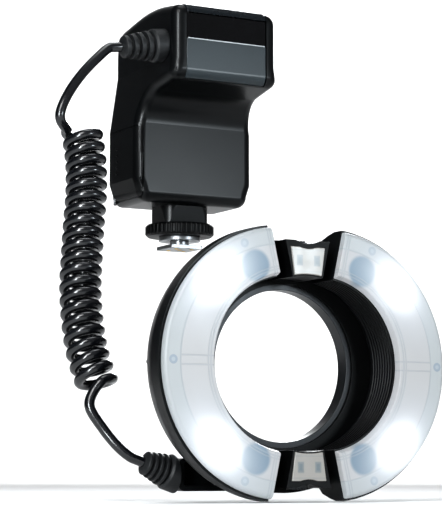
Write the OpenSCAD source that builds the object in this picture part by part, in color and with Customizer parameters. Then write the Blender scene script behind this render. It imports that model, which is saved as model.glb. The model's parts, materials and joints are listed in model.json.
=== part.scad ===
// Macro ring flash: a ring head on an adapter ring, a control unit with a shoe
// foot, and the curly cord between them. Millimetres, +Z up, +Y away from the
// viewer along the ring axis. The origin is on the ring axis, at the shoulder
// of the adapter ring where a filter rim seats.

/* [Ring head] */
// Radius of the outer arc of each diffuser
ring_r = 63.5; // [60:0.5:68]
// Radius of the inner arc of each diffuser
inner_r = 41.5; // [40:0.5:43]
// Distance of the outer arcs' centres from the ring axis, halves pulled out
arc_spread = 13; // [11:0.5:15]
// Distance of the inner arcs' centres from the ring axis, halves pulled out
inner_spread = 8.5; // [7.5:0.5:9.5]
// How far each half slides in towards the ring axis
half_travel = 6.5; // [3:0.5:6.5]
// Distance of the half's end line from the ring axis, measured on the axis
end_start = 6.5; // [6:0.5:8]
// Lean of the half's ends from the vertical, in degrees
end_lean = 12.4; // [10:0.2:14]
// Distance of the diffusers' edge in front of the seat
ring_front = 26; // [24:0.5:30]
// Depth of the half's housing behind the diffuser
housing_depth = 20; // [18:0.5:20]
// How far the housing stands out past the diffuser's edge
housing_lip = 1.2; // [0.6:0.1:2]
// Wall of the half's housing
housing_wall = 1.8; // [1.2:0.1:2.4]
// Height of the diffuser over its edge
diffuser_rise = 4; // [3:0.5:5]
// Round of the diffuser's outer edge
diffuser_round = 2.2; // [1.8:0.1:2.3]
// Wall of the diffuser
diffuser_wall = 1.6; // [1.2:0.1:1.7]
// Radius of the screw bosses that show through the diffuser
boss_r = 2.1; // [1.8:0.1:2.6]

/* [Flash tubes] */
// Length of each flash tube's glass
tube_len = 26; // [20:1:30]
// Radius of each flash tube's glass
tube_r = 2.2; // [1.6:0.1:2.6]
// Angle of each flash tube from the half's middle, in degrees
tube_angle = 44; // [40:1:46]
// Width of the reflector's trough
trough_w = 13.5; // [11:0.5:14]
// Depth of the reflector's trough
trough_depth = 11; // [9:0.5:12]
// Sheet of the reflector
reflector_sheet = 0.8; // [0.5:0.1:1.2]

/* [LED lamps] */
// Width of the LED window at its outer edge
led_outer_w = 18.8; // [16:0.2:20]
// Width of the LED window at its inner edge
led_inner_w = 15.2; // [13:0.2:15.6]
// Height of the LED window
led_h = 13; // [11:0.5:14]
// Thickness of the LED window
led_window_t = 2.4; // [1.6:0.2:3]
// How far the LED window stands in front of its frame
led_proud = 0.5; // [0.2:0.1:1]
// Depth of the chamber behind the LED window
led_chamber = 4; // [3:0.5:5]
// Thickness of the LED board
led_board_t = 1.4; // [1:0.2:2]

/* [Ring frame] */
// Outer radius of the ring frame
frame_r = 60.5; // [60:0.5:61]
// Thickness of the ring frame's plate
frame_t = 5; // [4:0.5:5]
// Height of the front lip that stops the adapter ring
lip_h = 1.2; // [0.8:0.1:1.6]
// Height of the rim behind the plate
frame_rim = 2.6; // [2.4:0.1:4]
// Thickness of the ring's back cover
cover_t = 1.8; // [1.2:0.1:2.4]
// Gap between the adapter ring's flange and the ring's back cover
cover_gap = 2.6; // [2:0.1:3]
// Height of the lamp blocks over the ring axis
block_top = 58; // [57:0.5:59]
// Radius of the guide posts
post_r = 2.8; // [2.2:0.1:3]
// Distance of the guide posts from the middle plane, halves pulled out
post_x = 24; // [23:0.5:25]
// Distance of the guide posts inside the ring frame's top edge
post_edge = 13.5; // [13:0.1:14]
// Width of each release button
release_w = 9; // [7:0.5:10]
// Depth of each release button
release_d = 7; // [6:0.5:8]
// Travel of the release buttons
release_travel = 1.5; // [1:0.1:1.8]

/* [Adapter ring] */
// Diameter of the filter thread
thread_d = 77; // [76:0.5:77]
// Length of the thread
thread_len = 4; // [3:0.5:5]
// Wall of the adapter ring
adapter_wall = 2; // [1.5:0.1:2.5]
// How far the adapter ring's flange stands out past the thread
flange_step = 1.9; // [1.6:0.1:2]

/* [Control unit] */
// Width of the lower body
body_w = 69; // [64:1:71]
// Width of the head
head_w = 60; // [56:1:60]
// Height of the unit's bottom over the ring axis
body_z = 89; // [86:1:92]
// Height of the lower body, up to the start of the throat
body_h = 37; // [36:0.5:39]
// Height of the head, from its chin to its crown
head_h = 40.5; // [39:0.5:43]
// Distance of the lower body's front behind the seat
body_front = 84; // [82:1:86]
// Depth of the lower body
body_depth = 37; // [37:1:39]
// How far the head reaches in front of the lower body
overhang = 34; // [30:1:38]
// Wall of the case
case_wall = 2.2; // [1.8:0.1:2.6]
// Radius of the lower body's upright corners
body_corner = 4.5; // [3.5:0.5:6]
// Radius of the head's upright corners
head_corner = 5; // [4.5:0.5:6]
// Radius of the head's top edges
crown_round = 5; // [4:0.5:6]
// Radius of the throat under the head
throat_r = 16; // [13:0.5:18]
// Slope of the head's underside, in degrees
chin_slope = 10; // [6:1:16]
// Distance of the joint between the shells in front of the back
shell_split = 9; // [8.5:0.5:10]

/* [Head insert] */
// Width of the visor, window and lower panel
insert_w = 46.4; // [42:0.2:47]
// Height of the sensor window
window_h = 13.6; // [11:0.2:15]
// Height of the lower panel over the chin
panel_h = 20.2; // [18:0.2:21]
// Reach of the visor over the crown
visor_reach = 32; // [24:1:40]
// Gap round the insert's pieces
insert_gap = 0.25; // [0.15:0.05:0.4]

/* [Battery bay] */
// Height of the battery door
door_h = 36.5; // [34:0.5:38]
// Thickness of the battery door
door_t = 4; // [3.5:0.1:4.2]
// Radius of the hinge pin
pin_r = 0.8; // [0.6:0.1:0.9]
// Length of a battery cell
cell_len = 50.5; // [48:0.5:51]
// Radius of a battery cell
cell_r = 7.25; // [6.8:0.05:7.25]

/* [Back controls] */
// Width of the display window
display_w = 40; // [34:1:40]
// Height of the display window
display_h = 16; // [14:1:17]
// Radius of the select dial
dial_r = 12.5; // [11:0.5:13.5]
// How far the select dial stands out of the back
dial_h = 4.6; // [3.5:0.1:6]
// Radius of the set button
set_r = 5; // [4.5:0.1:6]
// Radius of the power and test buttons
button_r = 4; // [3:0.1:4.5]
// Travel of the buttons on the back
button_travel = 0.8; // [0.5:0.1:1]

/* [Shoe foot] */
// Distance of the foot's middle behind the seat
shoe_y = 102.3; // [101:0.1:103]
// Width of the neck at its top
neck_w = 28; // [26:1:30]
// Depth of the neck at its top
neck_d = 22; // [20:1:24]
// Height of the neck
neck_h = 9; // [7:0.5:10]
// Radius of the lock ring
lock_r = 18.2; // [17:0.1:19]
// Thickness of the lock ring
lock_t = 6.4; // [5.5:0.1:7]
// Radius of the threaded stem
stem_r = 5; // [4.5:0.1:5.5]
// Radius of the clamp plate
clamp_r = 11; // [10:0.5:12]
// Thickness of the clamp plate
clamp_t = 2.2; // [1.8:0.1:2.6]
// Travel of the clamp plate
clamp_travel = 1; // [0.5:0.1:1.2]
// Width of the foot
foot_w = 18.5; // [18:0.1:18.6]
// Length of the foot
foot_len = 18; // [17:0.5:18]
// Thickness of the foot
foot_t = 2; // [1.9:0.05:2.1]
// Height of the slot over the foot, with the clamp plate down
foot_gap = 1.4; // [1.3:0.1:2]

/* [Curly cord] */
// Diameter of the cord
cord_d = 5; // [4.4:0.1:5.2]
// Outer diameter of the curls
curl_d = 20.8; // [19:0.2:21.4]
// Number of curls
curls = 21; // [18:1:21]
// Length of the boot on the control unit
boot_len = 24; // [20:1:26]
// Length of the boot on the ring
ring_boot_len = 17; // [15:1:19]
// Radius of the boot at its collar
boot_r = 8.6; // [7.6:0.2:9]

/* [Hidden] */
$fn = 64;
// Clearances: fixed seats, slides, running fits and faces that pass each other
seat = 0.1;
slide = 0.2;
run = 0.1;
pass = 0.6;
// Past every face, for clean cuts
over = 1;

// Ring head, front to back
edge_y = -ring_front;
front_y = edge_y - diffuser_rise;
housing_back = edge_y + housing_depth;
plate_front = -frame_t;
lip_t = 1;
adapter_r = thread_d / 2 - adapter_wall;
flange_r = thread_d / 2 + flange_step;
lip_r = flange_r - lip_h;
cover_bore_r = flange_r + cover_gap;
cover_front = frame_rim;
cover_back = cover_front + cover_t;
housing_r = ring_r + housing_lip;
// The housing's outside, front to back: how far each step draws in, and where
belt_depth = 7;
waist = [1.2, 12];
heel = [3.4, 2];
sole = 6;
lean = tan(end_lean);
rib_r = inner_r - 0.6;
// Screw bosses of a half: angle from the half's middle and distance from the arc's centre
boss_angles = [-68, 0, 68];
boss_reach = ring_r - 4.5;
boss_screw_r = 0.9;
boss_head_r = 1.7;
boss_head_t = 1.2;
// Guide screws behind the ring frame
guide_head_r = post_r + 1.8;
guide_head_t = 1.6;
guide_shank_r = 1.4;
post_end = seat;
post_z = frame_r - post_edge;
// Lamp blocks of the frame, beside the closed halves
block_start = end_start - half_travel - pass / cos(end_lean);
block_front = front_y + 1.5;
block_bore_r = inner_r - 0.2;
scoop_r = 14;
scoop_depth = 1.6;
led_low = block_bore_r + 0.6;
led_high = led_low + led_h;
led_front = block_front - led_proud;
led_floor = led_front + led_window_t + led_chamber;
led_chip = [3.4, 1.2, 5];
led_chip_x = 3.6;
release_y = led_floor + 2.2 + release_d / 2;
release_low = block_top - 7;
release_high = block_top + 0.8;
// Back cover screws
cover_screw_edge = 4.5;
cover_screw_reach = frame_r - cover_screw_edge;
cover_screw_angles = [20, 160, 200, 340];
// Cable housing behind the lower left of the ring
cable_side = 9.5;
cable_rise = 1;
cable_w = 27;
cable_h = 15.5;
cable_depth = 12;
cable_left = cable_side - frame_r;
cable_right = cable_left + cable_w;
cable_low = cable_rise - frame_r;
cable_high = cable_low + cable_h;
cable_wall = 1.8;
cable_round = 3;
cable_y = cover_back + cable_depth / 2;
ring_boot_up = 8;
ring_boot_at = [cable_left, cable_y, cable_low + ring_boot_up];
ring_boot_tilt = 19;

// Control unit: heights and depths
body_back = body_front + body_depth;
head_front = body_front - overhang;
throat_z = body_z + body_h;
chin_rise = 22.5;
chin_z = throat_z + chin_rise;
crown_z = chin_z + head_h;
split_y = body_back - shell_split;
// Side outline of the head, as arcs that run into each other: the brow at its front, the crown,
// the nape and the heel at its back, and the jaw. Angles are those of the outline's normal.
brow_r = 6;
crown_r = 100;
nape_r = 9;
heel_r = 20;
jaw_r = 6;
brow_end = 97.6;
nape_start = 80;
nape_end = 20;
brow_run = 10;
nape_run = 16.5;
function normal(a) = [cos(a), sin(a)];
crown_rise = brow_run * cos(brow_end);
brow_at = [head_front + brow_r,
    crown_z - crown_r + (crown_r - brow_r) * sin(brow_end) + crown_rise];
crown_at = [brow_at[0] + brow_run * sin(brow_end) - (crown_r - brow_r) * cos(brow_end), crown_z - crown_r];
nape_at = crown_at + (crown_r - nape_r) * normal(nape_start)
    + nape_run * [sin(nape_start), -cos(nape_start)];
nape_foot = nape_at + nape_r * normal(nape_end);
heel_top = body_back - heel_r * (1 - cos(nape_end));
heel_at = [body_back - heel_r,
    nape_foot[1] - (heel_top - nape_foot[0]) / tan(nape_end) - heel_r * sin(nape_end)];
throat_up = 3;
throat_at = [body_front - throat_r, throat_z + throat_up];
throat_top = throat_at + throat_r * normal(90 - chin_slope);
jaw_y = head_front + jaw_r;
jaw_at = [jaw_y,
    throat_top[1] + (jaw_r + (throat_top[0] - jaw_y) * sin(chin_slope)) / cos(chin_slope)];
head_root = 12;
body_foot_w = body_w - 4;
foot_bevel = 2;
flank_z = body_z + 12;
flank_top = throat_z + 2.5;
shoulder_z = chin_z + 10;
case_bevel = 1.5;
back_wall = body_back - case_wall;
panel_low = chin_z;
window_low = chin_z + panel_h;
visor_low = window_low + window_h;
visor_back = head_front + visor_reach;
insert_depth = 8;
visor_proud = 0.5;
visor_seat = 0.4;
window_sunk = 0.5;
panel_sunk = 0.2;
// Battery bay
door_low = body_z + case_wall + 0.3;
door_high = door_low + door_h;
door_inner = -body_w / 2 + door_t;
door_gap = 0.25;
hinge_x = -body_w / 2 + 2.8;
hinge_y = body_back - 5.5;
pin_low = 1.8;
pin_high = 3.2;
hinge_pocket = hinge_x + body_w / 2 + 0.3;
knuckle_r = 1.9;
lug_r = 1.5;
lug_h = 4;
lug_low = 0.4;
cell_web = 0.5;
cell_pitch = 2 * cell_r + cell_web;
tray_edge = 1;
tray_end = 1.4;
tray_low = body_z + case_wall + case_bevel;
cell_z = tray_low + tray_edge + cell_r + cell_pitch / 2;
contact_t = 0.6;
tray_left = door_inner + 1.6;
cell_y = body_front + body_depth / 2;
tray_len = cell_len + contact_t + tray_end;
tray_high = cell_z + cell_pitch / 2 + cell_r + tray_edge;
// Grip pips on the door
pip_r = 0.7;
pip_proud = 0.35;
pip_pitch = 3.2;
// Boards and parts in the head
board_t = 1.6;
board_y = split_y - 3;
board_w = head_w - 2 * case_wall - 4;
board_up = 5;
board_low = throat_z + board_up;
board_drop = 16;
board_high = crown_z - board_drop;
board_post_x = 20;
board_post_r = 2;
board_post_low = 10;
board_post_high = 4;
capacitor_r = 9;
capacitor_len = 42;
sensor_board_y = head_front + head_corner;
lamp_r = 2.6;
// Back controls
display_up = 7.5;
display_z = chin_z + display_up;
display_rim = 2;
display_t = 1.2;
dial_up = 5;
dial_z = throat_z + dial_up;
dial_y = body_back + slide;
dial_shaft_r = 3.4;
groove_r = 0.7;
groove_reach = dial_r + 0.3;
set_stem_r = 2;
button_z = dial_z;
button_side = 11;
button_x = body_w / 2 - button_side;
button_proud = 1.6;
screw_post_r = 2.6;
post_sink = 0.6;
post_clear = 1;
head_screw_drop = 28;
screw_spots = [
    [body_w / 2 - case_wall - screw_post_r + post_sink, tray_high + screw_post_r + seat],
    [-head_w / 2 + case_wall + screw_post_r + post_clear, crown_z - head_screw_drop],
    [head_w / 2 - case_wall - screw_post_r - post_clear, crown_z - head_screw_drop]
];
case_head_r = 1.9;
screw_head_r = 2.4;
screw_head_t = 1.4;
screw_shank_r = 1.2;
// Shoe foot, from the case down
neck_low = body_z - neck_h;
lock_high = neck_low - slide;
lock_low = lock_high - lock_t;
clamp_high = lock_low - slide;
clamp_low = clamp_high - clamp_t;
foot_high = clamp_low - clamp_travel - foot_gap;
foot_low = foot_high - foot_t;
neck_taper = 1.5;
neck_round = 8;
stem_high = body_z - 2;
knurls = 44;
knurl_r = 0.9;
contact_spots = [[0, 0], [-4.5, -5], [4.5, -5], [-4.5, 4], [4.5, 4]];
// Boot on the head's left side
unit_boot_back = 14;
unit_boot_up = 18;
unit_boot_at = [-head_w / 2, head_front + unit_boot_back, chin_z + unit_boot_up];
unit_boot_tilt = -8;
boot_tip_r = cord_d / 2 + 3.2;
boot_ribs = 4;
boot_shoulder = 1;
boot_groove = 1.8;
boot_collar = 0.3;
rib_share = 0.6;
boot_edge = 1.2;
boot_lip = 0.4;

// Shapes drawn in X and Z, from y0 back to y1
module along_y(y0, y1) {
    translate([0, y1, 0]) rotate([90, 0, 0]) linear_extrude(y1 - y0) children();
}

// Shapes drawn in Y and Z, from x0 to x1
module along_x(x0, x1) {
    translate([x0, 0, 0]) rotate([90, 0, 90]) linear_extrude(x1 - x0) children();
}

// Profiles drawn as radius and Y, turned about a line along Y
module turned_y(x = 0, z = 0) {
    translate([x, 0, z]) rotate([-90, 0, 0]) rotate_extrude() children();
}

module rod_y(x, z, r, y0, y1) {
    translate([x, y0, z]) rotate([-90, 0, 0]) cylinder(r = r, h = y1 - y0);
}

module rod_x(y, z, r, x0, x1) {
    translate([x0, y, z]) rotate([0, 90, 0]) cylinder(r = r, h = x1 - x0);
}

module block(low, high) {
    translate(low) cube(high - low);
}

module round_rect(w, h, r) {
    square([w - 2 * r, h], center = true);
    square([w, h - 2 * r], center = true);
    for (x = [-1, 1], y = [-1, 1])
        translate([x * (w / 2 - r), y * (h / 2 - r)]) circle(r);
}

// Points of an arc, from one angle to another
function arc(c, r, a0, a1, steps = 6) = [
    for (i = [0:steps])
        let (a = a0 + (a1 - a0) * i / steps)
        [c[0] + r * cos(a), c[1] + r * sin(a)]
];

// Half rings: everything here is the right half, and the left is its mirror image

// The half's side of its end lines, drawn in by an inset
module half_side(inset) {
    start = end_start + inset / cos(end_lean);
    far = 2 * ring_r;
    along_y(front_y - over, cover_back)
        polygon([[start, 0], [start + lean * far, far], [2 * far, far],
            [2 * far, -far], [start + lean * far, -far]]);
}

// A turned outer form less a turned inner one, between the end lines
module half_form(outer, inner, inset) {
    difference() {
        intersection() {
            turned_y(arc_spread) polygon(outer);
            half_side(inset);
        }
        turned_y(inner_spread) polygon(inner);
    }
}

function tube_profile(r, y0, y1) = [[0, y0], [r, y0], [r, y1], [0, y1]];

function housing_profile(inset, y0, y1) = [
    [0, y0], [housing_r - inset, y0], [housing_r - inset, edge_y + belt_depth],
    [housing_r - inset - waist[0], edge_y + waist[1]], [housing_r - inset - heel[0], y1 - heel[1]],
    [housing_r - inset - sole, y1], [0, y1]
];

module at_bosses() {
    for (a = boss_angles)
        translate([arc_spread + boss_reach * cos(a), 0, boss_reach * sin(a)]) children();
}

module at_posts() {
    for (s = [-1, 1]) translate([post_x, 0, s * post_z]) children();
}

module half_housing() {
    floor_y = housing_back - housing_wall;
    difference() {
        union() {
            difference() {
                half_form(housing_profile(0, edge_y, housing_back),
                    tube_profile(rib_r, edge_y - over, housing_back + over), 0);
                half_form(housing_profile(housing_wall, edge_y - over, floor_y),
                    tube_profile(rib_r + housing_wall, edge_y - 2 * over, housing_back), housing_wall);
            }
            at_bosses() rod_y(0, 0, boss_r, front_y + diffuser_wall, floor_y + over / 2);
            at_posts() rod_y(0, 0, post_r, housing_back - over / 2, post_end);
        }
        at_bosses() rod_y(0, 0, boss_screw_r + seat, front_y + diffuser_wall + over, housing_back + over);
        at_bosses() rod_y(0, 0, boss_head_r + seat, housing_back - boss_head_t, housing_back + over);
        at_posts() rod_y(0, 0, guide_shank_r + seat, housing_back - 2, post_end + over);
    }
}

function dome_profile(inset) = concat(
    [[0, edge_y], [ring_r - inset, edge_y]],
    arc([ring_r - diffuser_round, front_y + diffuser_round], diffuser_round - inset, 0, -90),
    [[0, front_y + inset]]
);

// The inner edge of the diffuser flares a little towards the front
function dome_bore(inset) = [
    [0, edge_y + over], [inner_r + inset, edge_y + over], [inner_r + inset, edge_y - 1],
    [inner_r + 1.4 + inset, front_y - over], [0, front_y - over]
];

module half_diffuser() {
    difference() {
        half_form(dome_profile(0), dome_bore(0), 0);
        for (back = [0, over / 2])
            translate([0, back, 0])
            half_form(dome_profile(diffuser_wall), dome_bore(diffuser_wall), diffuser_wall);
    }
}

// Two trough reflectors with round ends
trough_mid = (inner_r + inner_spread + ring_r + arc_spread) / 2 - arc_spread - 0.6;
trough_angles = [tube_angle - 28, tube_angle + 20];
tube_lift = 6;
tube_lead = 2;

module trough(side, w, y0, y1) {
    a0 = side > 0 ? trough_angles[0] : -trough_angles[1];
    turn = trough_angles[1] - trough_angles[0];
    translate([arc_spread, 0, 0]) {
        along_y(y0, y1)
            intersection() {
                difference() {
                    circle(trough_mid + w / 2);
                    circle(trough_mid - w / 2);
                }
                polygon(concat([[0, 0]], arc([0, 0], 2 * trough_mid, a0, a0 + turn, 4)));
            }
        for (a = [a0, a0 + turn])
            rod_y(trough_mid * cos(a), trough_mid * sin(a), w / 2, y0, y1);
    }
}

module half_reflectors() {
    floor_y = housing_back - housing_wall;
    mouth_y = floor_y - trough_depth;
    difference() {
        union() {
            for (side = [-1, 1])
                difference() {
                    trough(side, trough_w, mouth_y, floor_y);
                    trough(side, trough_w - 2 * reflector_sheet, mouth_y - over, floor_y - reflector_sheet);
                }
            for (side = [-1, 1], s = [-1, 1])
                at_tube(side) rod_y(s * (tube_len / 2 - 2), 0, tube_r + 0.8, 0, tube_lift - 0.5);
        }
        at_bosses() rod_y(0, 0, boss_r + slide, front_y, housing_back);
        for (side = [-1, 1])
            at_tube(side) rod_x(0, 0, tube_r + seat, -tube_len / 2 - 3, tube_len / 2 + 3);
    }
}

// A flash tube's place, with the tube along its own X
module at_tube(side) {
    translate([arc_spread, 0, 0])
        rotate([0, -side * tube_angle, 0])
        translate([trough_mid, housing_back - housing_wall - tube_lift, 0])
        rotate([0, 90, 0]) children();
}

module half_flash_tubes() {
    for (side = [-1, 1])
        at_tube(side) {
            rod_x(0, 0, tube_r, -tube_len / 2, tube_len / 2);
            for (x = [-tube_len / 2 - tube_lead, tube_len / 2])
                rod_x(0, 0, tube_r / 2, x, x + tube_lead);
        }
}

module half_guide_screws() {
    at_posts() {
        rod_y(0, 0, guide_head_r, post_end, post_end + guide_head_t);
        rod_y(0, 0, guide_shank_r, housing_back - 1.8, post_end + over / 2);
    }
}

module half_diffuser_screws() {
    at_bosses() {
        rod_y(0, 0, boss_head_r, housing_back - boss_head_t, housing_back);
        rod_y(0, 0, boss_screw_r, front_y + diffuser_wall + 2, housing_back - boss_head_t + over / 2);
    }
}

// Ring frame

// Outline of a lamp block, over the ring axis
module block_outline() {
    difference() {
        polygon([
            for (p = [[-1, 30], [1, 30], [1, block_top], [-1, block_top]])
                [p[0] * (block_start + lean * p[1]), p[1]]
        ]);
        circle(block_bore_r);
        translate([0, block_top + scoop_r - scoop_depth]) circle(scoop_r);
    }
}

// Outline of an LED window: its long edges follow the bore and the scoop
module led_outline(inset) {
    w0 = led_inner_w / 2 - inset;
    w1 = led_outer_w / 2 - inset;
    difference() {
        polygon([[-w0, led_low - 3], [w0, led_low - 3], [w0, led_low], [w1, led_high - inset],
            [-w1, led_high - inset], [-w0, led_low]]);
        circle(led_low + inset);
        translate([0, led_high + scoop_r - scoop_depth / 2 - inset]) circle(scoop_r);
    }
}

// Top and bottom copies of what sits over the ring axis
module top_and_bottom() {
    children();
    mirror([0, 0, 1]) children();
}

module release_pocket() {
    block([-release_w / 2 - slide, release_y - release_d / 2 - slide, release_low - release_travel - slide],
        [release_w / 2 + slide, release_y + release_d / 2 + slide, block_top + over]);
}

module guide_slot() {
    for (m = [0, 1]) mirror([m, 0, 0])
        at_posts() {
            rod_y(0, 0, post_r + slide, plate_front - over, over);
            rod_y(-half_travel, 0, post_r + slide, plate_front - over, over);
            block([-half_travel, plate_front - over, -post_r - slide], [0, over, post_r + slide]);
        }
}

module at_cover_screws() {
    for (a = cover_screw_angles)
        translate([cover_screw_reach * cos(a), 0, cover_screw_reach * sin(a)]) children();
}

module ring_frame() {
    color("#17191b")
    difference() {
        union() {
            turned_y() polygon([
                [lip_r, plate_front], [frame_r, plate_front], [frame_r, cover_front],
                [frame_r - 2, cover_front], [frame_r - 2, 0], [flange_r + run, 0],
                [flange_r + run, plate_front + lip_t], [lip_r, plate_front + lip_t]
            ]);
            top_and_bottom() along_y(block_front, plate_front + over / 2) block_outline();
            at_cover_screws() rod_y(0, 0, 3, -over / 2, cover_front);
        }
        top_and_bottom() along_y(block_front - over, led_floor) led_outline(0);
        top_and_bottom() release_pocket();
        guide_slot();
        at_cover_screws() rod_y(0, 0, screw_shank_r + seat, plate_front + over, cover_back);
    }
}

module ring_back_cover() {
    color("#1d2022")
    difference() {
        turned_y() polygon([
            [cover_bore_r, cover_front], [frame_r, cover_front], [frame_r, cover_back - 0.8],
            [frame_r - 0.8, cover_back], [cover_bore_r, cover_back]
        ]);
        at_cover_screws() rod_y(0, 0, screw_shank_r + seat, 0, cover_back + over);
        at_cover_screws() rod_y(0, 0, screw_head_r + seat, cover_back - 1, cover_back + over);
    }
}

module cover_screws() {
    color("#5b5f63")
    at_cover_screws() {
        rod_y(0, 0, screw_head_r, cover_back - 1, cover_back + 0.2);
        rod_y(0, 0, screw_shank_r, plate_front + over + 0.4, cover_back - 0.5);
    }
}

module adapter_ring() {
    color("#2a2d30")
    turned_y() polygon([
        [adapter_r, plate_front + lip_t + slide], [flange_r, plate_front + lip_t + slide],
        [flange_r, 0], [thread_d / 2, 0], [thread_d / 2, thread_len], [adapter_r, thread_len]
    ]);
}

module cable_housing() {
    color("#15171a")
    difference() {
        along_y(cover_back, cover_back + cable_depth)
            translate([(cable_left + cable_right) / 2, (cable_low + cable_high) / 2])
            round_rect(cable_right - cable_left, cable_high - cable_low, cable_round);
        block([cable_left + cable_wall + 1, cover_back - over, cable_low + cable_wall + 1],
            [cable_right - cable_wall, cover_back + cable_depth - cable_wall, cable_high - cable_wall]);
        turned_y() polygon(tube_profile(cover_bore_r + slide, 0, 2 * cable_depth));
    }
}

module release_button() {
    color("#26292c") {
        block([-release_w / 2, release_y - release_d / 2, release_low],
            [release_w / 2, release_y + release_d / 2, release_high - 0.8]);
        for (i = [-2:2])
            block([i * release_w / 5.5 - 0.45, release_y - release_d / 2 + 0.4, release_high - 1],
                [i * release_w / 5.5 + 0.45, release_y + release_d / 2 - 0.4, release_high]);
    }
}

module led_window() {
    color("#e9eef2") along_y(led_front, led_front + led_window_t) led_outline(seat);
}

module led_board() {
    color("#2c5a3c") {
        along_y(led_floor - led_board_t, led_floor) led_outline(0.5);
        for (s = [-1, 1])
            translate([s * led_chip_x, led_floor - led_board_t - led_chip[1] / 2, led_low + led_h / 2])
                cube([led_chip[0], led_chip[1] + over / 2, led_chip[2]], center = true);
    }
}

module release_button_top() { release_button(); }
module release_button_bottom() { mirror([0, 0, 1]) release_button(); }
module led_window_top() { led_window(); }
module led_window_bottom() { mirror([0, 0, 1]) led_window(); }
module led_board_top() { led_board(); }
module led_board_bottom() { mirror([0, 0, 1]) led_board(); }

module to_left() { mirror([1, 0, 0]) children(); }
module right_housing() { color("#1b1e20") half_housing(); }
module left_housing() { to_left() right_housing(); }
module right_diffuser() { color("#eef3f8") half_diffuser(); }
module left_diffuser() { to_left() right_diffuser(); }
module right_reflectors() { color("#c9ced3") half_reflectors(); }
module left_reflectors() { to_left() right_reflectors(); }
module right_flash_tubes() { color("#dfe9f2") half_flash_tubes(); }
module left_flash_tubes() { to_left() right_flash_tubes(); }
module right_guide_screws() { color("#6a6e72") half_guide_screws(); }
module left_guide_screws() { to_left() right_guide_screws(); }
module right_diffuser_screws() { color("#6a6e72") half_diffuser_screws(); }
module left_diffuser_screws() { to_left() right_diffuser_screws(); }

// Control unit case

// Plan of a case block, with its own front and back corner radii
module plan(w, y0, y1, front_r, back_r) {
    difference() {
        translate([-w / 2, y0]) square([w, y1 - y0]);
        for (s = [-1, 1]) {
            if (front_r > 0) translate([s * (w / 2 - front_r), y0 + front_r]) corner_cut(s, -1, front_r);
            translate([s * (w / 2 - back_r), y1 - back_r]) corner_cut(s, 1, back_r);
        }
    }
}

module corner_cut(sx, sy, r) {
    difference() {
        translate([sx > 0 ? 0 : -r - over, sy > 0 ? 0 : -r - over]) square(r + over);
        circle(r);
    }
}

// Side outline of the head and throat, drawn in by an inset
function head_side(g) = concat(
    arc(jaw_at, jaw_r - g, 270 - chin_slope, 180, 8),
    arc(brow_at, brow_r - g, 180, brow_end, 8),
    arc(crown_at, crown_r - g, brow_end, nape_start, 6),
    arc(nape_at, nape_r - g, nape_start, nape_end, 8),
    arc(heel_at, heel_r - g, nape_end, 0, 4),
    [[body_back - g, throat_z - head_root], [body_front + g, throat_z - head_root]],
    arc(throat_at, throat_r + g, 0, 90 - chin_slope, 12)
);

module head_form(g) {
    intersection() {
        along_x(-head_w, head_w) polygon(head_side(g));
        translate([0, 0, body_z])
            linear_extrude(2 * (crown_z - body_z))
            plan(head_w - 2 * g, head_front + g, body_back - g, head_corner - g, body_corner - g);
        along_y(0, 2 * body_back)
            translate([0, body_z])
            plan(head_w - 2 * g, 0, crown_z - body_z - g, 0, crown_round - g);
    }
}

module lower_form(g) {
    foot = body_foot_w / 2 - g;
    mid = body_w / 2 - g;
    top = head_w / 2 - g;
    intersection() {
        translate([0, 0, body_z - over])
            linear_extrude(crown_z - body_z)
            plan(body_w - 2 * g, body_front + g, body_back - g, body_corner - g, body_corner - g);
        along_y(0, 2 * body_back)
            polygon([[-foot + foot_bevel, body_z + g], [foot - foot_bevel, body_z + g],
                [foot, body_z + foot_bevel + g], [mid, flank_z], [mid, flank_top], [top, shoulder_z],
                [-top, shoulder_z], [-mid, flank_top], [-mid, flank_z], [-foot, body_z + foot_bevel + g]]);
        along_x(-body_w, body_w)
            polygon([[body_front + g + case_bevel, body_z + g], [body_back - g - case_bevel, body_z + g],
                [body_back - g, body_z + g + case_bevel], [body_back - g, crown_z],
                [body_front + g, crown_z], [body_front + g, body_z + g + case_bevel]]);
    }
}

module unit_form(g) {
    head_form(g);
    lower_form(g);
}

module case_shell() {
    difference() {
        unit_form(0);
        unit_form(case_wall);
    }
}

// The opening for the visor, window and lower panel
module insert_opening() {
    half = insert_w / 2 + insert_gap;
    front = head_front - over;
    top = crown_z + over;
    block([-half, front, panel_low - insert_gap], [half, head_front + insert_depth, top]);
    block([-half, front, visor_low - insert_gap], [half, visor_back + insert_gap, top]);
}

// The room that the battery door takes, and swings out of
module door_opening() {
    low = door_low - door_gap;
    high = door_high + door_gap;
    block([-body_w, 0, low], [door_inner + door_gap, hinge_y + hinge_pocket, high]);
    translate([hinge_x, hinge_y, low]) cylinder(r = hinge_pocket, h = high - low);
}

// A round bar along the door's hinge line, shorter by a gap at each end
module hinge_bar(r, gap = 0) {
    translate([hinge_x, hinge_y, door_low - pin_low + gap])
        cylinder(r = r, h = door_h + pin_low + pin_high - 2 * gap);
}

module front_shell() {
    color("#1a1d1f")
    difference() {
        intersection() {
            case_shell();
            block([-body_w, 0, 0], [body_w, split_y, 2 * crown_z]);
        }
        insert_opening();
        door_opening();
        rod_x(unit_boot_at[1], unit_boot_at[2], cord_d / 2 + 0.4, -head_w, 0);
    }
}

module at_case_screws() {
    for (p = screw_spots) translate([p[0], 0, p[1]]) children();
}

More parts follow.
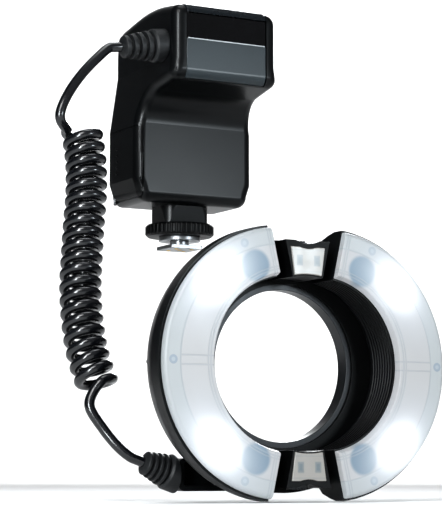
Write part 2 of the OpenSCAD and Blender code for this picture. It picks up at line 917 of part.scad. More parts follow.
module rear_shell() {
    board_back = board_y + board_t;
    color("#1a1d1f")
    difference() {
        union() {
            intersection() {
                case_shell();
                block([-body_w, split_y, 0], [body_w, 2 * body_back, 2 * crown_z]);
            }
            intersection() {
                unit_form(case_wall / 2);
                union() {
                    at_case_screws() rod_y(0, 0, screw_post_r, split_y, body_back);
                    for (s = [-1, 1], z = [board_low + board_post_low, board_high - board_post_high])
                        rod_y(s * board_post_x, z, board_post_r, board_back, body_back);
                }
            }
            for (z = [[body_z + lug_low, door_low - door_gap], [door_high + door_gap, door_high + lug_h]])
                translate([hinge_x, hinge_y, z[0]]) cylinder(r = lug_r, h = z[1] - z[0]);
        }
        door_opening();
        hinge_bar(pin_r + 0.05);
        at_case_screws() rod_y(0, 0, screw_shank_r + seat, split_y - over, body_back + over);
        at_case_screws() rod_y(0, 0, case_head_r + seat, body_back - screw_head_t - 0.4, body_back + over);
        along_y(body_back - display_t, body_back + over)
            translate([0, display_z]) square([display_w + 2 * seat, display_h + 2 * seat], center = true);
        along_y(split_y, body_back + over)
            translate([0, display_z])
            square([display_w, display_h] - 2 * display_rim * [1, 1], center = true);
        rod_y(0, dial_z, dial_shaft_r + run, split_y, body_back + over);
        for (s = [-1, 1]) rod_y(s * button_x, button_z, button_r + slide, split_y, body_back + over);
    }
}

module case_screws() {
    head_y = body_back - screw_head_t - 0.4;
    color("#5b5f63")
    at_case_screws() {
        rod_y(0, 0, case_head_r, head_y, head_y + screw_head_t);
        rod_y(0, 0, screw_shank_r, split_y + 0.2, head_y + over / 2);
    }
}

module visor() {
    color("#20262b")
    difference() {
        intersection() {
            head_form(-visor_proud);
            block([-insert_w / 2, 0, visor_low], [insert_w / 2, visor_back, 2 * crown_z]);
        }
        head_form(case_wall - visor_seat);
    }
}

// A front panel of the insert, between two heights and sunk a little into the head
module insert_panel(z0, z1, sunk) {
    difference() {
        intersection() {
            head_form(sunk);
            block([-insert_w / 2, 0, z0],
                [insert_w / 2, head_front + insert_depth - insert_gap, z1 - insert_gap]);
        }
        head_form(case_wall);
    }
}

module sensor_window() { color("#0b0b0e") insert_panel(window_low, visor_low, window_sunk); }
module lower_panel() { color("#31383a") insert_panel(panel_low, window_low, panel_sunk); }

module sensor_board() {
    half = head_w / 2 - case_wall;
    color("#2c5a3c")
    block([-half, sensor_board_y, window_low - 2], [half, sensor_board_y + board_t, visor_low - 1]);
}

module sensor_lamps() {
    color("#6a1216")
    for (s = [-1, 1])
        rod_y(s * insert_w / 4, window_low + window_h / 2 - 0.5, lamp_r,
            head_front + case_wall + 0.4, sensor_board_y);
}

module main_board() {
    color("#2c5a3c")
    block([-board_w / 2, board_y, board_low], [board_w / 2, board_y + board_t, board_high]);
}

module flash_capacitor() {
    color("#1c2430")
    rod_x(board_y - capacitor_r, board_low + capacitor_r + 6, capacitor_r,
        -capacitor_len / 2 - 2, capacitor_len / 2 - 2);
}

// Battery bay

module battery_door() {
    color("#1a1d1f")
    difference() {
        union() {
            intersection() {
                lower_form(0);
                block([-body_w, 0, door_low], [door_inner, hinge_y, door_high]);
            }
            translate([hinge_x, hinge_y, door_low]) cylinder(r = knuckle_r, h = door_h);
            for (i = [0:4])
                rod_x(split_y - 4, door_low + door_h / 2 - 4 + pip_pitch * i, pip_r,
                    -body_w / 2 - pip_proud, -body_w / 2 + over);
        }
        hinge_bar(pin_r + run);
    }
}

module door_pin() { color("#9a9ea2") hinge_bar(pin_r, slide); }

module at_cells() {
    for (y = [-1, 1], z = [-1, 1])
        translate([0, cell_y + y * cell_pitch / 2, cell_z + z * cell_pitch / 2]) children();
}

module battery_tray() {
    color("#33373a")
    difference() {
        block([tray_left, body_front + case_wall, tray_low], [tray_left + tray_len, back_wall, tray_high]);
        at_cells() rod_x(0, 0, cell_r + seat, tray_left - over, tray_left + tray_len - tray_end);
    }
}

module battery_cells() {
    color("#7d8a96")
    at_cells() {
        rod_x(0, 0, cell_r, tray_left, tray_left + cell_len - 1);
        rod_x(0, 0, 2.6, tray_left + cell_len - 1.5, tray_left + cell_len);
    }
}

module battery_contacts() {
    color("#b9a46a")
    at_cells() rod_x(0, 0, 4, tray_left + cell_len, tray_left + cell_len + contact_t);
}

// Back controls

module display_window() {
    color("#3a4046")
    along_y(body_back - display_t, body_back + 0.2)
        translate([0, display_z]) square([display_w, display_h], center = true);
}

module display_panel() {
    color("#7f8f7a")
    along_y(back_wall - 2.4, back_wall)
        translate([0, display_z]) square([display_w, display_h] - display_rim * [1, 1], center = true);
}

module select_dial() {
    top = dial_y + dial_h;
    color("#26292c")
    difference() {
        turned_y(0, dial_z) polygon([
            [set_stem_r + slide, split_y + 2.5], [dial_shaft_r, split_y + 2.5], [dial_shaft_r, dial_y],
            [dial_r, dial_y], [dial_r, top - 0.8], [dial_r - 0.8, top], [set_r + slide, top],
            [set_r + slide, dial_y + 1.2], [set_stem_r + slide, dial_y + 1.2]
        ]);
        for (a = [0:15:345])
            rod_y(groove_reach * cos(a), dial_z + groove_reach * sin(a), groove_r,
                dial_y - over, top + over);
    }
}

module set_button() {
    color("#3a3f43") {
        rod_y(0, dial_z, set_r, dial_y + 1.4 + button_travel, dial_y + dial_h + 1);
        rod_y(0, dial_z, set_stem_r, split_y + 3.5, dial_y + dial_h);
    }
}

module back_button(x) {
    rod_y(x, button_z, button_r, split_y + 4, body_back + button_proud);
}

module power_button() { color("#3a3f43") back_button(-button_x); }
module test_button() { color("#7a2020") back_button(button_x); }

// Shoe foot

module shoe_base() {
    low_w = neck_w / 2 - neck_taper;
    low_d = neck_d / 2 - neck_taper;
    color("#1a1d1f")
    difference() {
        intersection() {
            along_y(0, 2 * shoe_y) polygon([[-low_w, neck_low], [low_w, neck_low],
                [neck_w / 2, body_z], [-neck_w / 2, body_z]]);
            along_x(-neck_w, neck_w) polygon([[shoe_y - low_d, neck_low], [shoe_y + low_d, neck_low],
                [shoe_y + neck_d / 2, body_z], [shoe_y - neck_d / 2, body_z]]);
            translate([0, shoe_y, 0]) linear_extrude(2 * body_z) round_rect(neck_w, neck_d, neck_round);
        }
        translate([0, shoe_y, neck_low - over])
            cylinder(r = stem_r + seat, h = stem_high - neck_low + over);
    }
}

module shoe_stem() {
    color("#8b8f93") translate([0, shoe_y, foot_high]) cylinder(r = stem_r, h = stem_high - foot_high);
}

module lock_ring() {
    edge = 1.2;
    color("#16181a")
    translate([0, shoe_y, 0])
    difference() {
        rotate_extrude() polygon([
            [stem_r + run, lock_low], [lock_r - edge, lock_low], [lock_r, lock_low + edge],
            [lock_r, lock_high - edge], [lock_r - edge, lock_high], [stem_r + run, lock_high]
        ]);
        for (i = [0:knurls - 1])
            rotate([0, 0, 360 * i / knurls])
            translate([lock_r + 0.4, 0, lock_low - over])
            cylinder(r = knurl_r, h = lock_t + 2 * over, $fn = 16);
    }
}

module clamp_plate() {
    color("#a4a8ac")
    translate([0, shoe_y, clamp_low])
    difference() {
        cylinder(r = clamp_r, h = clamp_t);
        translate([0, 0, -over]) cylinder(r = stem_r + run, h = clamp_t + 2 * over);
    }
}

module shoe_foot() {
    color("#b4b8bc")
    translate([0, shoe_y, foot_low]) linear_extrude(foot_t) round_rect(foot_w, foot_len, 1);
}

module shoe_contacts() {
    color("#c8a24a")
    for (p = contact_spots)
        translate([p[0], shoe_y + p[1], foot_low - 0.3]) cylinder(r = 1.1, h = 0.3);
}

// Boots and the curly cord

// A ribbed boot along a direction that leans from -X, cut off square to the wall
module boot(at, tilt, long) {
    collar = boot_collar * long;
    top_r = boot_r - boot_shoulder;
    rib = (long - collar) / (boot_ribs + 1 - rib_share);
    reach = 3 * boot_r;
    color("#131517")
    difference() {
        translate(at) rotate([0, tilt - 90, 0])
            rotate_extrude() polygon(concat(
                [[0, -collar], [boot_r, -collar], [boot_r, collar - boot_edge]],
                [[boot_r - boot_edge, collar]],
                [
                    for (i = [0:boot_ribs - 1])
                        let (
                            r = top_r - (top_r - boot_tip_r) * i / (boot_ribs - 1),
                            low = collar + rib * (i + 1 - rib_share),
                            high = collar + rib * (i + 1)
                        )
                        each [[r - boot_groove, low - rib * (1 - rib_share)], [r - boot_groove, low],
                            [r, low], [r, high]]
                ],
                [[cord_d / 2 + boot_lip, long], [0, long]]
            ));
        block(at - reach * [0, 1, 1], at + reach * [1, 1, 1]);
    }
}

module unit_boot() { boot(unit_boot_at, unit_boot_tilt, boot_len); }
module ring_boot() { boot(ring_boot_at, ring_boot_tilt, ring_boot_len); }

// Directions out of the boots, and the points where the cord leaves them
function boot_dir(tilt) = [-cos(tilt), 0, sin(tilt)];
unit_exit = unit_boot_at + boot_len * boot_dir(unit_boot_tilt);
ring_exit = ring_boot_at + ring_boot_len * boot_dir(ring_boot_tilt);
straight = 1.2 * cord_d;

// Route of the cord: the upper lead, the line down the middle of the curls, the lower lead
upper_lead = [
    [-67, 62, 156.5], [-76.5, 59.5, 147], [-84.5, 57, 137], [-90, 55, 127.5], [-90.5, 55.5, 121.5]
];
curl_axis = [
    [-77, 60, 118], [-76, 57, 102], [-77, 54, 86], [-79.5, 51, 70], [-82, 47.5, 54],
    [-84.5, 43.5, 38], [-85.5, 39, 22], [-85, 34, 6], [-82, 28.5, -10]
];
lower_lead = [[-87.5, 21.2, -13], [-90, 20, -20.5], [-84.5, 17, -30.5], [-78.5, 13, -39]];

function unit(v) = v / norm(v);

// A point on the smooth curve through a list of points
function smooth(points, t) =
    let (
        n = len(points) - 1,
        i = max(0, min(floor(t), n - 1)),
        u = t - i,
        b = points[i],
        c = points[i + 1],
        a = i > 0 ? points[i - 1] : 2 * b - c,
        d = i < n - 1 ? points[i + 2] : 2 * c - b
    )
    b + u * (c - a) / 2 + u * u * (a - 2.5 * b + 2 * c - d / 2) + u * u * u * (-a + 3 * b - 3 * c + d) / 2;

// Curls: a helix about the axis, from the left side round by the back
curl_rings = 8;
turns = curls - 0.25;
curl_r = (curl_d - cord_d) / 2;
curl_steps = curl_rings * turns;
function curl_point(i) =
    let (
        t = (len(curl_axis) - 1) * i / curl_steps,
        ahead = unit(smooth(curl_axis, t + 0.01) - smooth(curl_axis, t - 0.01)),
        back = unit([0, 1, 0] - ahead[1] * ahead),
        right = cross(ahead, back),
        a = 180 - 360 * i / curl_rings
    )
    smooth(curl_axis, t) + curl_r * (cos(a) * right + sin(a) * back);
curl_path = [for (i = [0:curl_steps]) curl_point(i)];

upper_knots = concat(
    [unit_exit, unit_exit + straight * boot_dir(unit_boot_tilt)], upper_lead, [curl_path[0], curl_path[2]]);
lower_knots = concat(
    [curl_path[curl_steps - 2], curl_path[curl_steps]], lower_lead,
    [ring_exit + straight * boot_dir(ring_boot_tilt), ring_exit]);
lead_steps = 2;
cord_path = concat(
    [unit_exit],
    [for (i = [lead_steps:lead_steps * (len(upper_knots) - 2) - 1]) smooth(upper_knots, i / lead_steps)],
    curl_path,
    [for (i = [lead_steps + 1:lead_steps * (len(lower_knots) - 2)]) smooth(lower_knots, i / lead_steps)],
    [ring_exit]
);

// Direction of the cord at each of its points
last = len(cord_path) - 1;
cord_dirs = [
    for (i = [0:last])
        i == 0 ? boot_dir(unit_boot_tilt)
        : i == last ? -boot_dir(ring_boot_tilt)
        : unit(cord_path[i + 1] - cord_path[i - 1])
];

// A side direction carried along the cord without twist
cord_sides = [
    for (i = 0, s = [0, 1, 0]; i <= last; i = i + 1,
        s = i <= last ? unit(s - (s * cord_dirs[i]) * cord_dirs[i]) : s) s
];
cord_faces = 6;
function cord_ring(i) = [
    for (k = [0:cord_faces - 1])
        let (a = 360 * k / cord_faces)
        cord_path[i] + cord_d / 2 * (cos(a) * cord_sides[i] + sin(a) * cross(cord_dirs[i], cord_sides[i]))
];

cord_steps = [for (i = [1:last]) norm(cord_path[i] - cord_path[i - 1])];
cord_length = cord_steps * [for (step = cord_steps) 1];
cord_gap = min([
    for (i = [0:last - 6], j = [i + 6:last]) norm(cord_path[i] - cord_path[j])
]) - cord_d;
echo(cord_length = cord_length, cord_gap = cord_gap);

module curly_cord() {
    points = [for (i = [0:last]) each cord_ring(i)];
    sides = [
        for (i = [0:last - 1], k = [0:cord_faces - 1])
            let (
                a = i * cord_faces + k,
                b = i * cord_faces + (k + 1) % cord_faces
            )
            each [[a, a + cord_faces, b], [b, a + cord_faces, b + cord_faces]]
    ];
    tail = last * cord_faces;
    ends = [
        for (k = [1:cord_faces - 2])
            each [[0, k, k + 1], [tail, tail + k + 1, tail + k]]
    ];
    color("#1b1f24") polyhedron(points, concat(sides, ends));
}

ring_frame();
ring_back_cover();
cover_screws();
adapter_ring();
cable_housing();
release_button_top();
release_button_bottom();
led_window_top();
led_window_bottom();
led_board_top();
led_board_bottom();
left_housing();
left_diffuser();
left_reflectors();
left_flash_tubes();
left_guide_screws();
left_diffuser_screws();
right_housing();
right_diffuser();
right_reflectors();
right_flash_tubes();
right_guide_screws();
right_diffuser_screws();
ring_boot();
curly_cord();
unit_boot();
front_shell();
rear_shell();
case_screws();
visor();
sensor_window();
lower_panel();
sensor_board();
sensor_lamps();
main_board();
flash_capacitor();
battery_door();
door_pin();
battery_tray();
battery_cells();
battery_contacts();
display_window();
display_panel();
select_dial();
set_button();
power_button();
test_button();
shoe_base();
shoe_stem();
lock_ring();
clamp_plate();
shoe_foot();
shoe_contacts();
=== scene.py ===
"""Looks of the macro ring flash: ring head, curly cord and control unit.

Every length is in metres, in the part's own frame: +X to the viewer's right, +Y back along the
ring axis, +Z up, with the origin at the adapter ring's shoulder.
"""

import json
import math

import bmesh
import bpy
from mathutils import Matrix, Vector


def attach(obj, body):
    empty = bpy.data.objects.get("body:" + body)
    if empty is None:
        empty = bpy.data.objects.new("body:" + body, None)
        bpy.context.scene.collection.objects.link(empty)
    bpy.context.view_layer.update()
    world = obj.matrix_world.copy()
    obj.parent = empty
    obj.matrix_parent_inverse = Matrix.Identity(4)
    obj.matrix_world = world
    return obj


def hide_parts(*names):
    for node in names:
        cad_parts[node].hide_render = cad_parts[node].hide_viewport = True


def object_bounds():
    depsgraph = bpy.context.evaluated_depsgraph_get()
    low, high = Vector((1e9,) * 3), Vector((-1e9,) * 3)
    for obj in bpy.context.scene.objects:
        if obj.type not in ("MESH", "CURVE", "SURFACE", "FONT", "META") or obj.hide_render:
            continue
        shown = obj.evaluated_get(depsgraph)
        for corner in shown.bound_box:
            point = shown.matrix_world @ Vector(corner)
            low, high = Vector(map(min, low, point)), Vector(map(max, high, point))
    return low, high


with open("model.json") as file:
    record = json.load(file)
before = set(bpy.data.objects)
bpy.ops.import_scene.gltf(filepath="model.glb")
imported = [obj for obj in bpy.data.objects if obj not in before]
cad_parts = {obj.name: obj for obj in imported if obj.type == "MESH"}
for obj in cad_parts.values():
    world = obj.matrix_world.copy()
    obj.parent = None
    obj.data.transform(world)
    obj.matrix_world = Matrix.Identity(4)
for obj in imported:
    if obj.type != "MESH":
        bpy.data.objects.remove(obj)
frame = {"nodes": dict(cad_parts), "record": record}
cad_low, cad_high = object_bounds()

MM = 0.001
NODES = frame["nodes"]
BODY_OF = {}
for body, members in frame["record"]["behaviour"]["bodies"].items():
    for member in members:
        BODY_OF[member] = body
SLOT_OF = {s["node"]: s["material_slot"] for s in frame["record"]["subparts"]}


def mm(*values):
    """A point given in millimetres."""
    return Vector(values) * MM


# View at the photograph's angle

AIM = mm(-45.4, -26, 48.4)
AZIMUTH = math.radians(-28.8)
ELEVATION = math.radians(-6.4)
DISTANCE = 0.9
FOCAL_PIXELS = 1952
FRAME_HEIGHT = 512
SENSOR = 36


def make_camera():
    """The view that the photograph shows."""
    back = Vector((
        math.sin(AZIMUTH) * math.cos(ELEVATION),
        -math.cos(AZIMUTH) * math.cos(ELEVATION),
        math.sin(ELEVATION),
    ))
    data = bpy.data.cameras.new("view")
    data.sensor_width = SENSOR
    data.lens = FOCAL_PIXELS * SENSOR / FRAME_HEIGHT
    data.clip_start = 0.01
    data.clip_end = 50
    eye = bpy.data.objects.new("view", data)
    eye.location = AIM + back * DISTANCE
    eye.rotation_mode = "QUATERNION"
    eye.rotation_quaternion = (-back).to_track_quat("-Z", "Y")
    bpy.context.scene.collection.objects.link(eye)
    bpy.context.scene.camera = eye


make_camera()


# Materials

class Nodes:
    """Shorthand for building a material's node tree."""

    def __init__(self, name):
        self.material = bpy.data.materials.new(name)
        self.material.use_nodes = True
        self.tree = self.material.node_tree
        self.tree.nodes.clear()
        self.out = self.add("ShaderNodeOutputMaterial")
        self.coords = self.add("ShaderNodeTexCoord").outputs["Object"]

    def add(self, kind, inputs=None, **settings):
        node = self.tree.nodes.new(kind)
        for key, value in settings.items():
            setattr(node, key, value)
        for key, value in (inputs or {}).items():
            self.put(node.inputs[key], value)
        return node

    def put(self, socket, value):
        if isinstance(value, bpy.types.NodeSocket):
            self.tree.links.new(value, socket)
        else:
            socket.default_value = value

    def math(self, operation, a, b=0.0):
        return self.add("ShaderNodeMath", {0: a, 1: b}, operation=operation).outputs[0]

    def length(self, a, b):
        squares = [self.math("MULTIPLY", value, value) for value in (a, b)]
        return self.math("SQRT", self.math("ADD", *squares))

    def line(self, value, at, half, soft):
        """1 where a value is within half of a place, 0 further off."""
        off = self.math("ABSOLUTE", self.math("SUBTRACT", value, at))
        return self.spread(off, 1.0, 0.0, half, half + soft, smooth=True)

    def disc(self, a, b, place, radius, soft):
        """1 inside a round spot, 0 outside."""
        off = self.length(self.math("SUBTRACT", a, place[0]), self.math("SUBTRACT", b, place[1]))
        return self.spread(off, 1.0, 0.0, radius, radius + soft, smooth=True)

    def noise(self, size, detail, rough):
        inputs = {"Vector": self.coords, "Scale": 1 / size, "Detail": detail, "Roughness": rough}
        return self.add("ShaderNodeTexNoise", inputs).outputs["Fac"]

    def clouds(self, size):
        """Slow, soft changes over a surface."""
        return self.noise(size, 3.0, 0.5)

    def grain(self, size):
        """Fine, rough changes over a surface."""
        return self.noise(size, 2.0, 0.6)

    def spread(self, value, low, high, start=0.0, end=1.0, smooth=False):
        """A value between start and end drawn out to run from low to high."""
        kind = "SMOOTHSTEP" if smooth else "LINEAR"
        inputs = {"Value": value, "From Min": start, "From Max": end, "To Min": low, "To Max": high}
        return self.add("ShaderNodeMapRange", inputs, interpolation_type=kind).outputs["Result"]

    def mix(self, factor, a, b):
        """One colour where the factor is 0, the other where it is 1."""
        node = self.add("ShaderNodeMix", data_type="RGBA")
        for socket, value in zip((node.inputs[0], node.inputs[6], node.inputs[7]), (factor, a, b)):
            self.put(socket, value)
        return node.outputs[2]

    def tinted(self, tone, where, share, color):
        """A tone with a share of a colour laid over it where a value is 1."""
        return self.mix(self.math("MULTIPLY", where, share), tone, color)

    def bump(self, height, strength, depth):
        inputs = {"Height": height, "Strength": strength, "Distance": depth}
        return self.add("ShaderNodeBump", inputs).outputs["Normal"]

    def finish(self, shader):
        self.tree.links.new(shader.outputs[0], self.out.inputs["Surface"])
        return self.material


def rgb(color, factor=1.0):
    return tuple(c * factor for c in color) + (1.0,)


BLACK = (0.0, 0.0, 0.0, 1)
WHITE = (1.0, 1.0, 1.0, 1)
CLOUD_RANGE = (0.25, 0.75)
GRAIN_SHARE = 0.35
GRAIN_DARK = 0.7


def moulded(name, color, rough, specular=0.5, metallic=0.0, grain=0.25 * MM, grain_depth=0.012 * MM,
            cloud=9 * MM, cloud_amount=0.18, rough_spread=0.06):
    """Moulded plastic, rubber or metal: fine grain in its height, slow clouds in colour and gloss."""
    n = Nodes(name)
    clouds = n.clouds(cloud)
    fine = n.grain(grain)
    tint = n.mix(clouds, rgb(color, 1 - cloud_amount), rgb(color, 1 + cloud_amount))
    inputs = {
        "Base Color": n.mix(n.spread(fine, 0.0, GRAIN_SHARE), tint, rgb(color, GRAIN_DARK)),
        "Roughness": n.spread(clouds, rough - rough_spread, rough + rough_spread, *CLOUD_RANGE),
        "Metallic": metallic,
        "Specular IOR Level": specular,
        "Normal": n.bump(fine, 0.5, grain_depth),
    }
    return n.finish(n.add("ShaderNodeBsdfPrincipled", inputs))


# Pieces made from the frame's own solids, with their edges rounded

WELD = 0.002 * MM
FLAT_ANGLE = math.radians(0.6)
ROUND_FROM = math.radians(30)
ROUNDED_SHARP = 38


def piece(name, mesh, body, slot, material, *replaced):
    """A new object that rides on a body and stands for the nodes named."""
    made = bpy.data.objects.new(name, mesh)
    bpy.context.scene.collection.objects.link(made)
    mesh.materials.clear()
    mesh.materials.append(material)
    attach(made, body)
    if replaced:
        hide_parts(*replaced)
    return made


def clean_mesh(node):
    """The node's solid with its flat faces joined up."""
    mesh = bmesh.new()
    mesh.from_mesh(NODES[node].data)
    bmesh.ops.remove_doubles(mesh, verts=mesh.verts, dist=WELD)
    bmesh.ops.dissolve_degenerate(mesh, dist=WELD, edges=mesh.edges)
    bmesh.ops.dissolve_limit(mesh, angle_limit=FLAT_ANGLE, verts=mesh.verts, edges=mesh.edges)
    bmesh.ops.recalc_face_normals(mesh, faces=mesh.faces)
    return mesh


def to_data(mesh, name):
    data = bpy.data.meshes.new(name)
    mesh.to_mesh(data)
    mesh.free()
    return data


def smoothed(data, angle):
    """Smooth shading, but for edges sharper than an angle in degrees."""
    for face in data.polygons:
        face.use_smooth = True
    data.set_sharp_from_angle(angle=math.radians(angle))


def skin(node, data, material, angle=32):
    """A finished mesh in place of a node, smooth but for its sharp edges."""
    data.name = node + "_skin"
    smoothed(data, angle)
    made = piece(node + "_skin", data, BODY_OF[node], SLOT_OF[node], material, node)
    made.modifiers.new("weights", "WEIGHTED_NORMAL").keep_sharp = True


def rounded(node, width, material):
    """A copy of a node's solid with its edges rounded, in place of the node."""
    mesh = clean_mesh(node)
    edges = [e for e in mesh.edges if len(e.link_faces) == 2 and e.calc_face_angle(0) > ROUND_FROM]
    bmesh.ops.bevel(
        mesh, geom=edges, offset=width, offset_type="OFFSET", segments=2, profile=0.5,
        affect="EDGES", clamp_overlap=True, miter_outer="ARC", loop_slide=True,
    )
    skin(node, to_data(mesh, node), material, ROUNDED_SHARP)


def arc(center, radius, start, end, steps):
    """Points of an arc between two angles in degrees."""
    angles = [math.radians(start + (end - start) * i / steps) for i in range(steps + 1)]
    return [(center[0] + radius * math.cos(t), center[1] + radius * math.sin(t)) for t in angles]


def prism(points, low, high, axis, radius, segments=6):
    """A closed outline drawn out along an axis, with the edges of both its ends rounded. In mm."""
    mesh = bmesh.new()
    ends = []
    for far in (low, high):
        places = [(far, *p) if axis == "x" else (p[0], far, p[1]) for p in points]
        ends.append([mesh.verts.new(mm(*place)) for place in places])
    for i in range(len(points)):
        j = (i + 1) % len(points)
        mesh.faces.new((ends[0][i], ends[0][j], ends[1][j], ends[1][i]))
    caps = [mesh.faces.new(ends[0][::-1]), mesh.faces.new(ends[1])]
    bmesh.ops.recalc_face_normals(mesh, faces=mesh.faces)
    if radius:
        bmesh.ops.bevel(
            mesh, geom=[e for cap in caps for e in cap.edges], offset=radius * MM, offset_type="OFFSET",
            segments=segments, profile=0.5, affect="EDGES", clamp_overlap=False,
        )
    return to_data(mesh, "form")


def combine(first, second, operation):
    """One solid joined to, kept inside or cut by another."""
    pair = [bpy.data.objects.new("operand", data) for data in (first, second)]
    for made in pair:
        bpy.context.scene.collection.objects.link(made)
    change = pair[0].modifiers.new("change", "BOOLEAN")
    change.object = pair[1]
    change.operation = operation
    change.solver = "EXACT"
    bpy.context.view_layer.update()
    graph = bpy.context.evaluated_depsgraph_get()
    result = bpy.data.meshes.new_from_object(pair[0].evaluated_get(graph))
    for made in pair:
        bpy.data.objects.remove(made)
    return result


def trimmed(node, form, material):
    """A node kept inside a rounded form."""
    skin(node, combine(to_data(clean_mesh(node), node), form, "INTERSECT"), material)


# The curly cord, on the same line as its solid

CORD_D = 5 * MM
CURL_D = 20.8 * MM
CURL_TURNS = 20.75
CURL_POINTS = 24
UNIT_EXIT = mm(-53.7664, 64, 163.1598)
UNIT_TILT = math.radians(8)
UNIT_EXIT_DIR = Vector((-math.cos(UNIT_TILT), 0, -math.sin(UNIT_TILT)))
RING_EXIT = mm(-67.0738, 10.4, -45.9653)
RING_TILT = math.radians(19)
RING_EXIT_DIR = Vector((-math.cos(RING_TILT), 0, math.sin(RING_TILT)))
STRAIGHT = 1.2 * CORD_D
UPPER_LEAD = [
    mm(-67, 62, 156.5), mm(-76.5, 59.5, 147), mm(-84.5, 57, 137), mm(-90, 55, 127.5),
    mm(-90.5, 55.5, 121.5),
]
CURL_AXIS = [
    mm(-77, 60, 118), mm(-76, 57, 102), mm(-77, 54, 86), mm(-79.5, 51, 70), mm(-82, 47.5, 54),
    mm(-84.5, 43.5, 38), mm(-85.5, 39, 22), mm(-85, 34, 6), mm(-82, 28.5, -10),
]
LOWER_LEAD = [mm(-87.5, 21.2, -13), mm(-90, 20, -20.5), mm(-84.5, 17, -30.5), mm(-78.5, 13, -39)]
LEAD_POINTS = 8
NEAR = 0.01


def smooth(points, t):
    """A point on the smooth curve through a list of points."""
    last = len(points) - 1
    i = max(0, min(math.floor(t), last - 1))
    u = t - i
    b, c = points[i], points[i + 1]
    a = points[i - 1] if i > 0 else 2 * b - c
    d = points[i + 2] if i < last - 1 else 2 * c - b
    return (
        b + u * (c - a) / 2 + u * u * (a - 2.5 * b + 2 * c - d / 2)
        + u * u * u * (-a + 3 * b - 3 * c + d) / 2
    )


def curl_point(turn):
    """A point on the curled stretch, by the turns from its upper end."""
    t = (len(CURL_AXIS) - 1) * turn / CURL_TURNS
    ahead = (smooth(CURL_AXIS, t + NEAR) - smooth(CURL_AXIS, t - NEAR)).normalized()
    back = (Vector((0, 1, 0)) - ahead.y * ahead).normalized()
    right = ahead.cross(back)
    angle = math.pi - 2 * math.pi * turn
    radius = (CURL_D - CORD_D) / 2
    return smooth(CURL_AXIS, t) + radius * (math.cos(angle) * right + math.sin(angle) * back)


def cord_route():
    """The cord's middle line, from the control unit to the ring."""
    steps = round(CURL_TURNS * CURL_POINTS)
    curls = [curl_point(CURL_TURNS * i / steps) for i in range(steps + 1)]
    quarter = CURL_POINTS // 4
    unit_end = [UNIT_EXIT, UNIT_EXIT + STRAIGHT * UNIT_EXIT_DIR]
    ring_end = [RING_EXIT + STRAIGHT * RING_EXIT_DIR, RING_EXIT]
    upper = unit_end + UPPER_LEAD + [curls[0], curls[quarter]]
    lower = [curls[-1 - quarter], curls[-1]] + LOWER_LEAD + ring_end
    first = range(LEAD_POINTS, LEAD_POINTS * (len(upper) - 2))
    then = range(LEAD_POINTS + 1, LEAD_POINTS * (len(lower) - 2) + 1)
    return (
        [UNIT_EXIT] + [smooth(upper, i / LEAD_POINTS) for i in first] + curls
        + [smooth(lower, i / LEAD_POINTS) for i in then] + [RING_EXIT]
    )


def make_cord():
    route = cord_route()
    curve = bpy.data.curves.new("cord", "CURVE")
    curve.dimensions = "3D"
    spline = curve.splines.new("POLY")
    spline.points.add(len(route) - 1)
    for point, place in zip(spline.points, route):
        point.co = (*place, 1)
    spline.use_smooth = True
    curve.bevel_depth = CORD_D / 2
    curve.bevel_resolution = 5
    curve.use_fill_caps = True
    cord = bpy.data.objects.new("cord", curve)
    bpy.context.scene.collection.objects.link(cord)
    curve.materials.append(moulded(
        "cord_rubber", (0.004, 0.0046, 0.006), 0.2, specular=0.75, grain=0.6 * MM, grain_depth=0.01 * MM,
        cloud=14 * MM, rough_spread=0.07,
    ))
    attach(cord, BODY_OF["curly_cord"])
    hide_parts("curly_cord")


make_cord()


# Frosted covers of the ring, lit from behind

ARC_SPREAD = 13 * MM
INNER_SPREAD = 8.5 * MM
END_START = 6.5 * MM
END_LEAN = math.radians(12.4)
# Painted shadows of the bosses behind the cover, each a dark disc with a lighter hub
BOSS_REACH = 59 * MM
BOSS_ANGLE = math.radians(68)
BOSS_R = 2.0 * MM
BOSS_SOFT = 0.3 * MM
HUB_R = 0.8 * MM
HUB_SOFT = 0.4 * MM
# Place and size of the painted glow spots where the flash tubes shine through
SPOT_REACH = 52.5 * MM
SPOT_ANGLE = math.radians(47)
SPOT_LONG = 11 * MM
SPOT_WIDE = 8 * MM
# Painted shadow at each round end of the reflector trough, seen through the cover
TROUGH_REACH = 47.5 * MM
TROUGH_ANGLE = math.radians(70)
TROUGH_R = 6.2 * MM
TROUGH_SOFT = 2.4 * MM
STEP_REACH = 55.3 * MM
INNER_LINES = (44.3 * MM, 45.6 * MM)
END_LINES = (1.9 * MM, 3.2 * MM)
RIB_OFF = 2.1 * MM
LINE = 0.25 * MM
HALO_FALL = -0.22
DIFFUSER_GLOW = 0.27
SPOT_GLOW = 1.3
DIFFUSER_DIM = 0.67
MILK_LOW = (0.6, 0.605, 0.62, 1)
MILK_HIGH = (0.66, 0.66, 0.665, 1)
MILK_RIM = (0.58, 0.615, 0.63, 1)
TROUGH_SHADOW_TONE = (0.13, 0.25, 0.36, 1)
LINE_TONE = (0.42, 0.47, 0.51, 1)
BOSS_SHADOW_TONE = (0.36, 0.44, 0.52, 1)
HUB_TONE = (0.52, 0.6, 0.66, 1)
HALO_TONE = (0.86, 0.92, 1.0, 1)


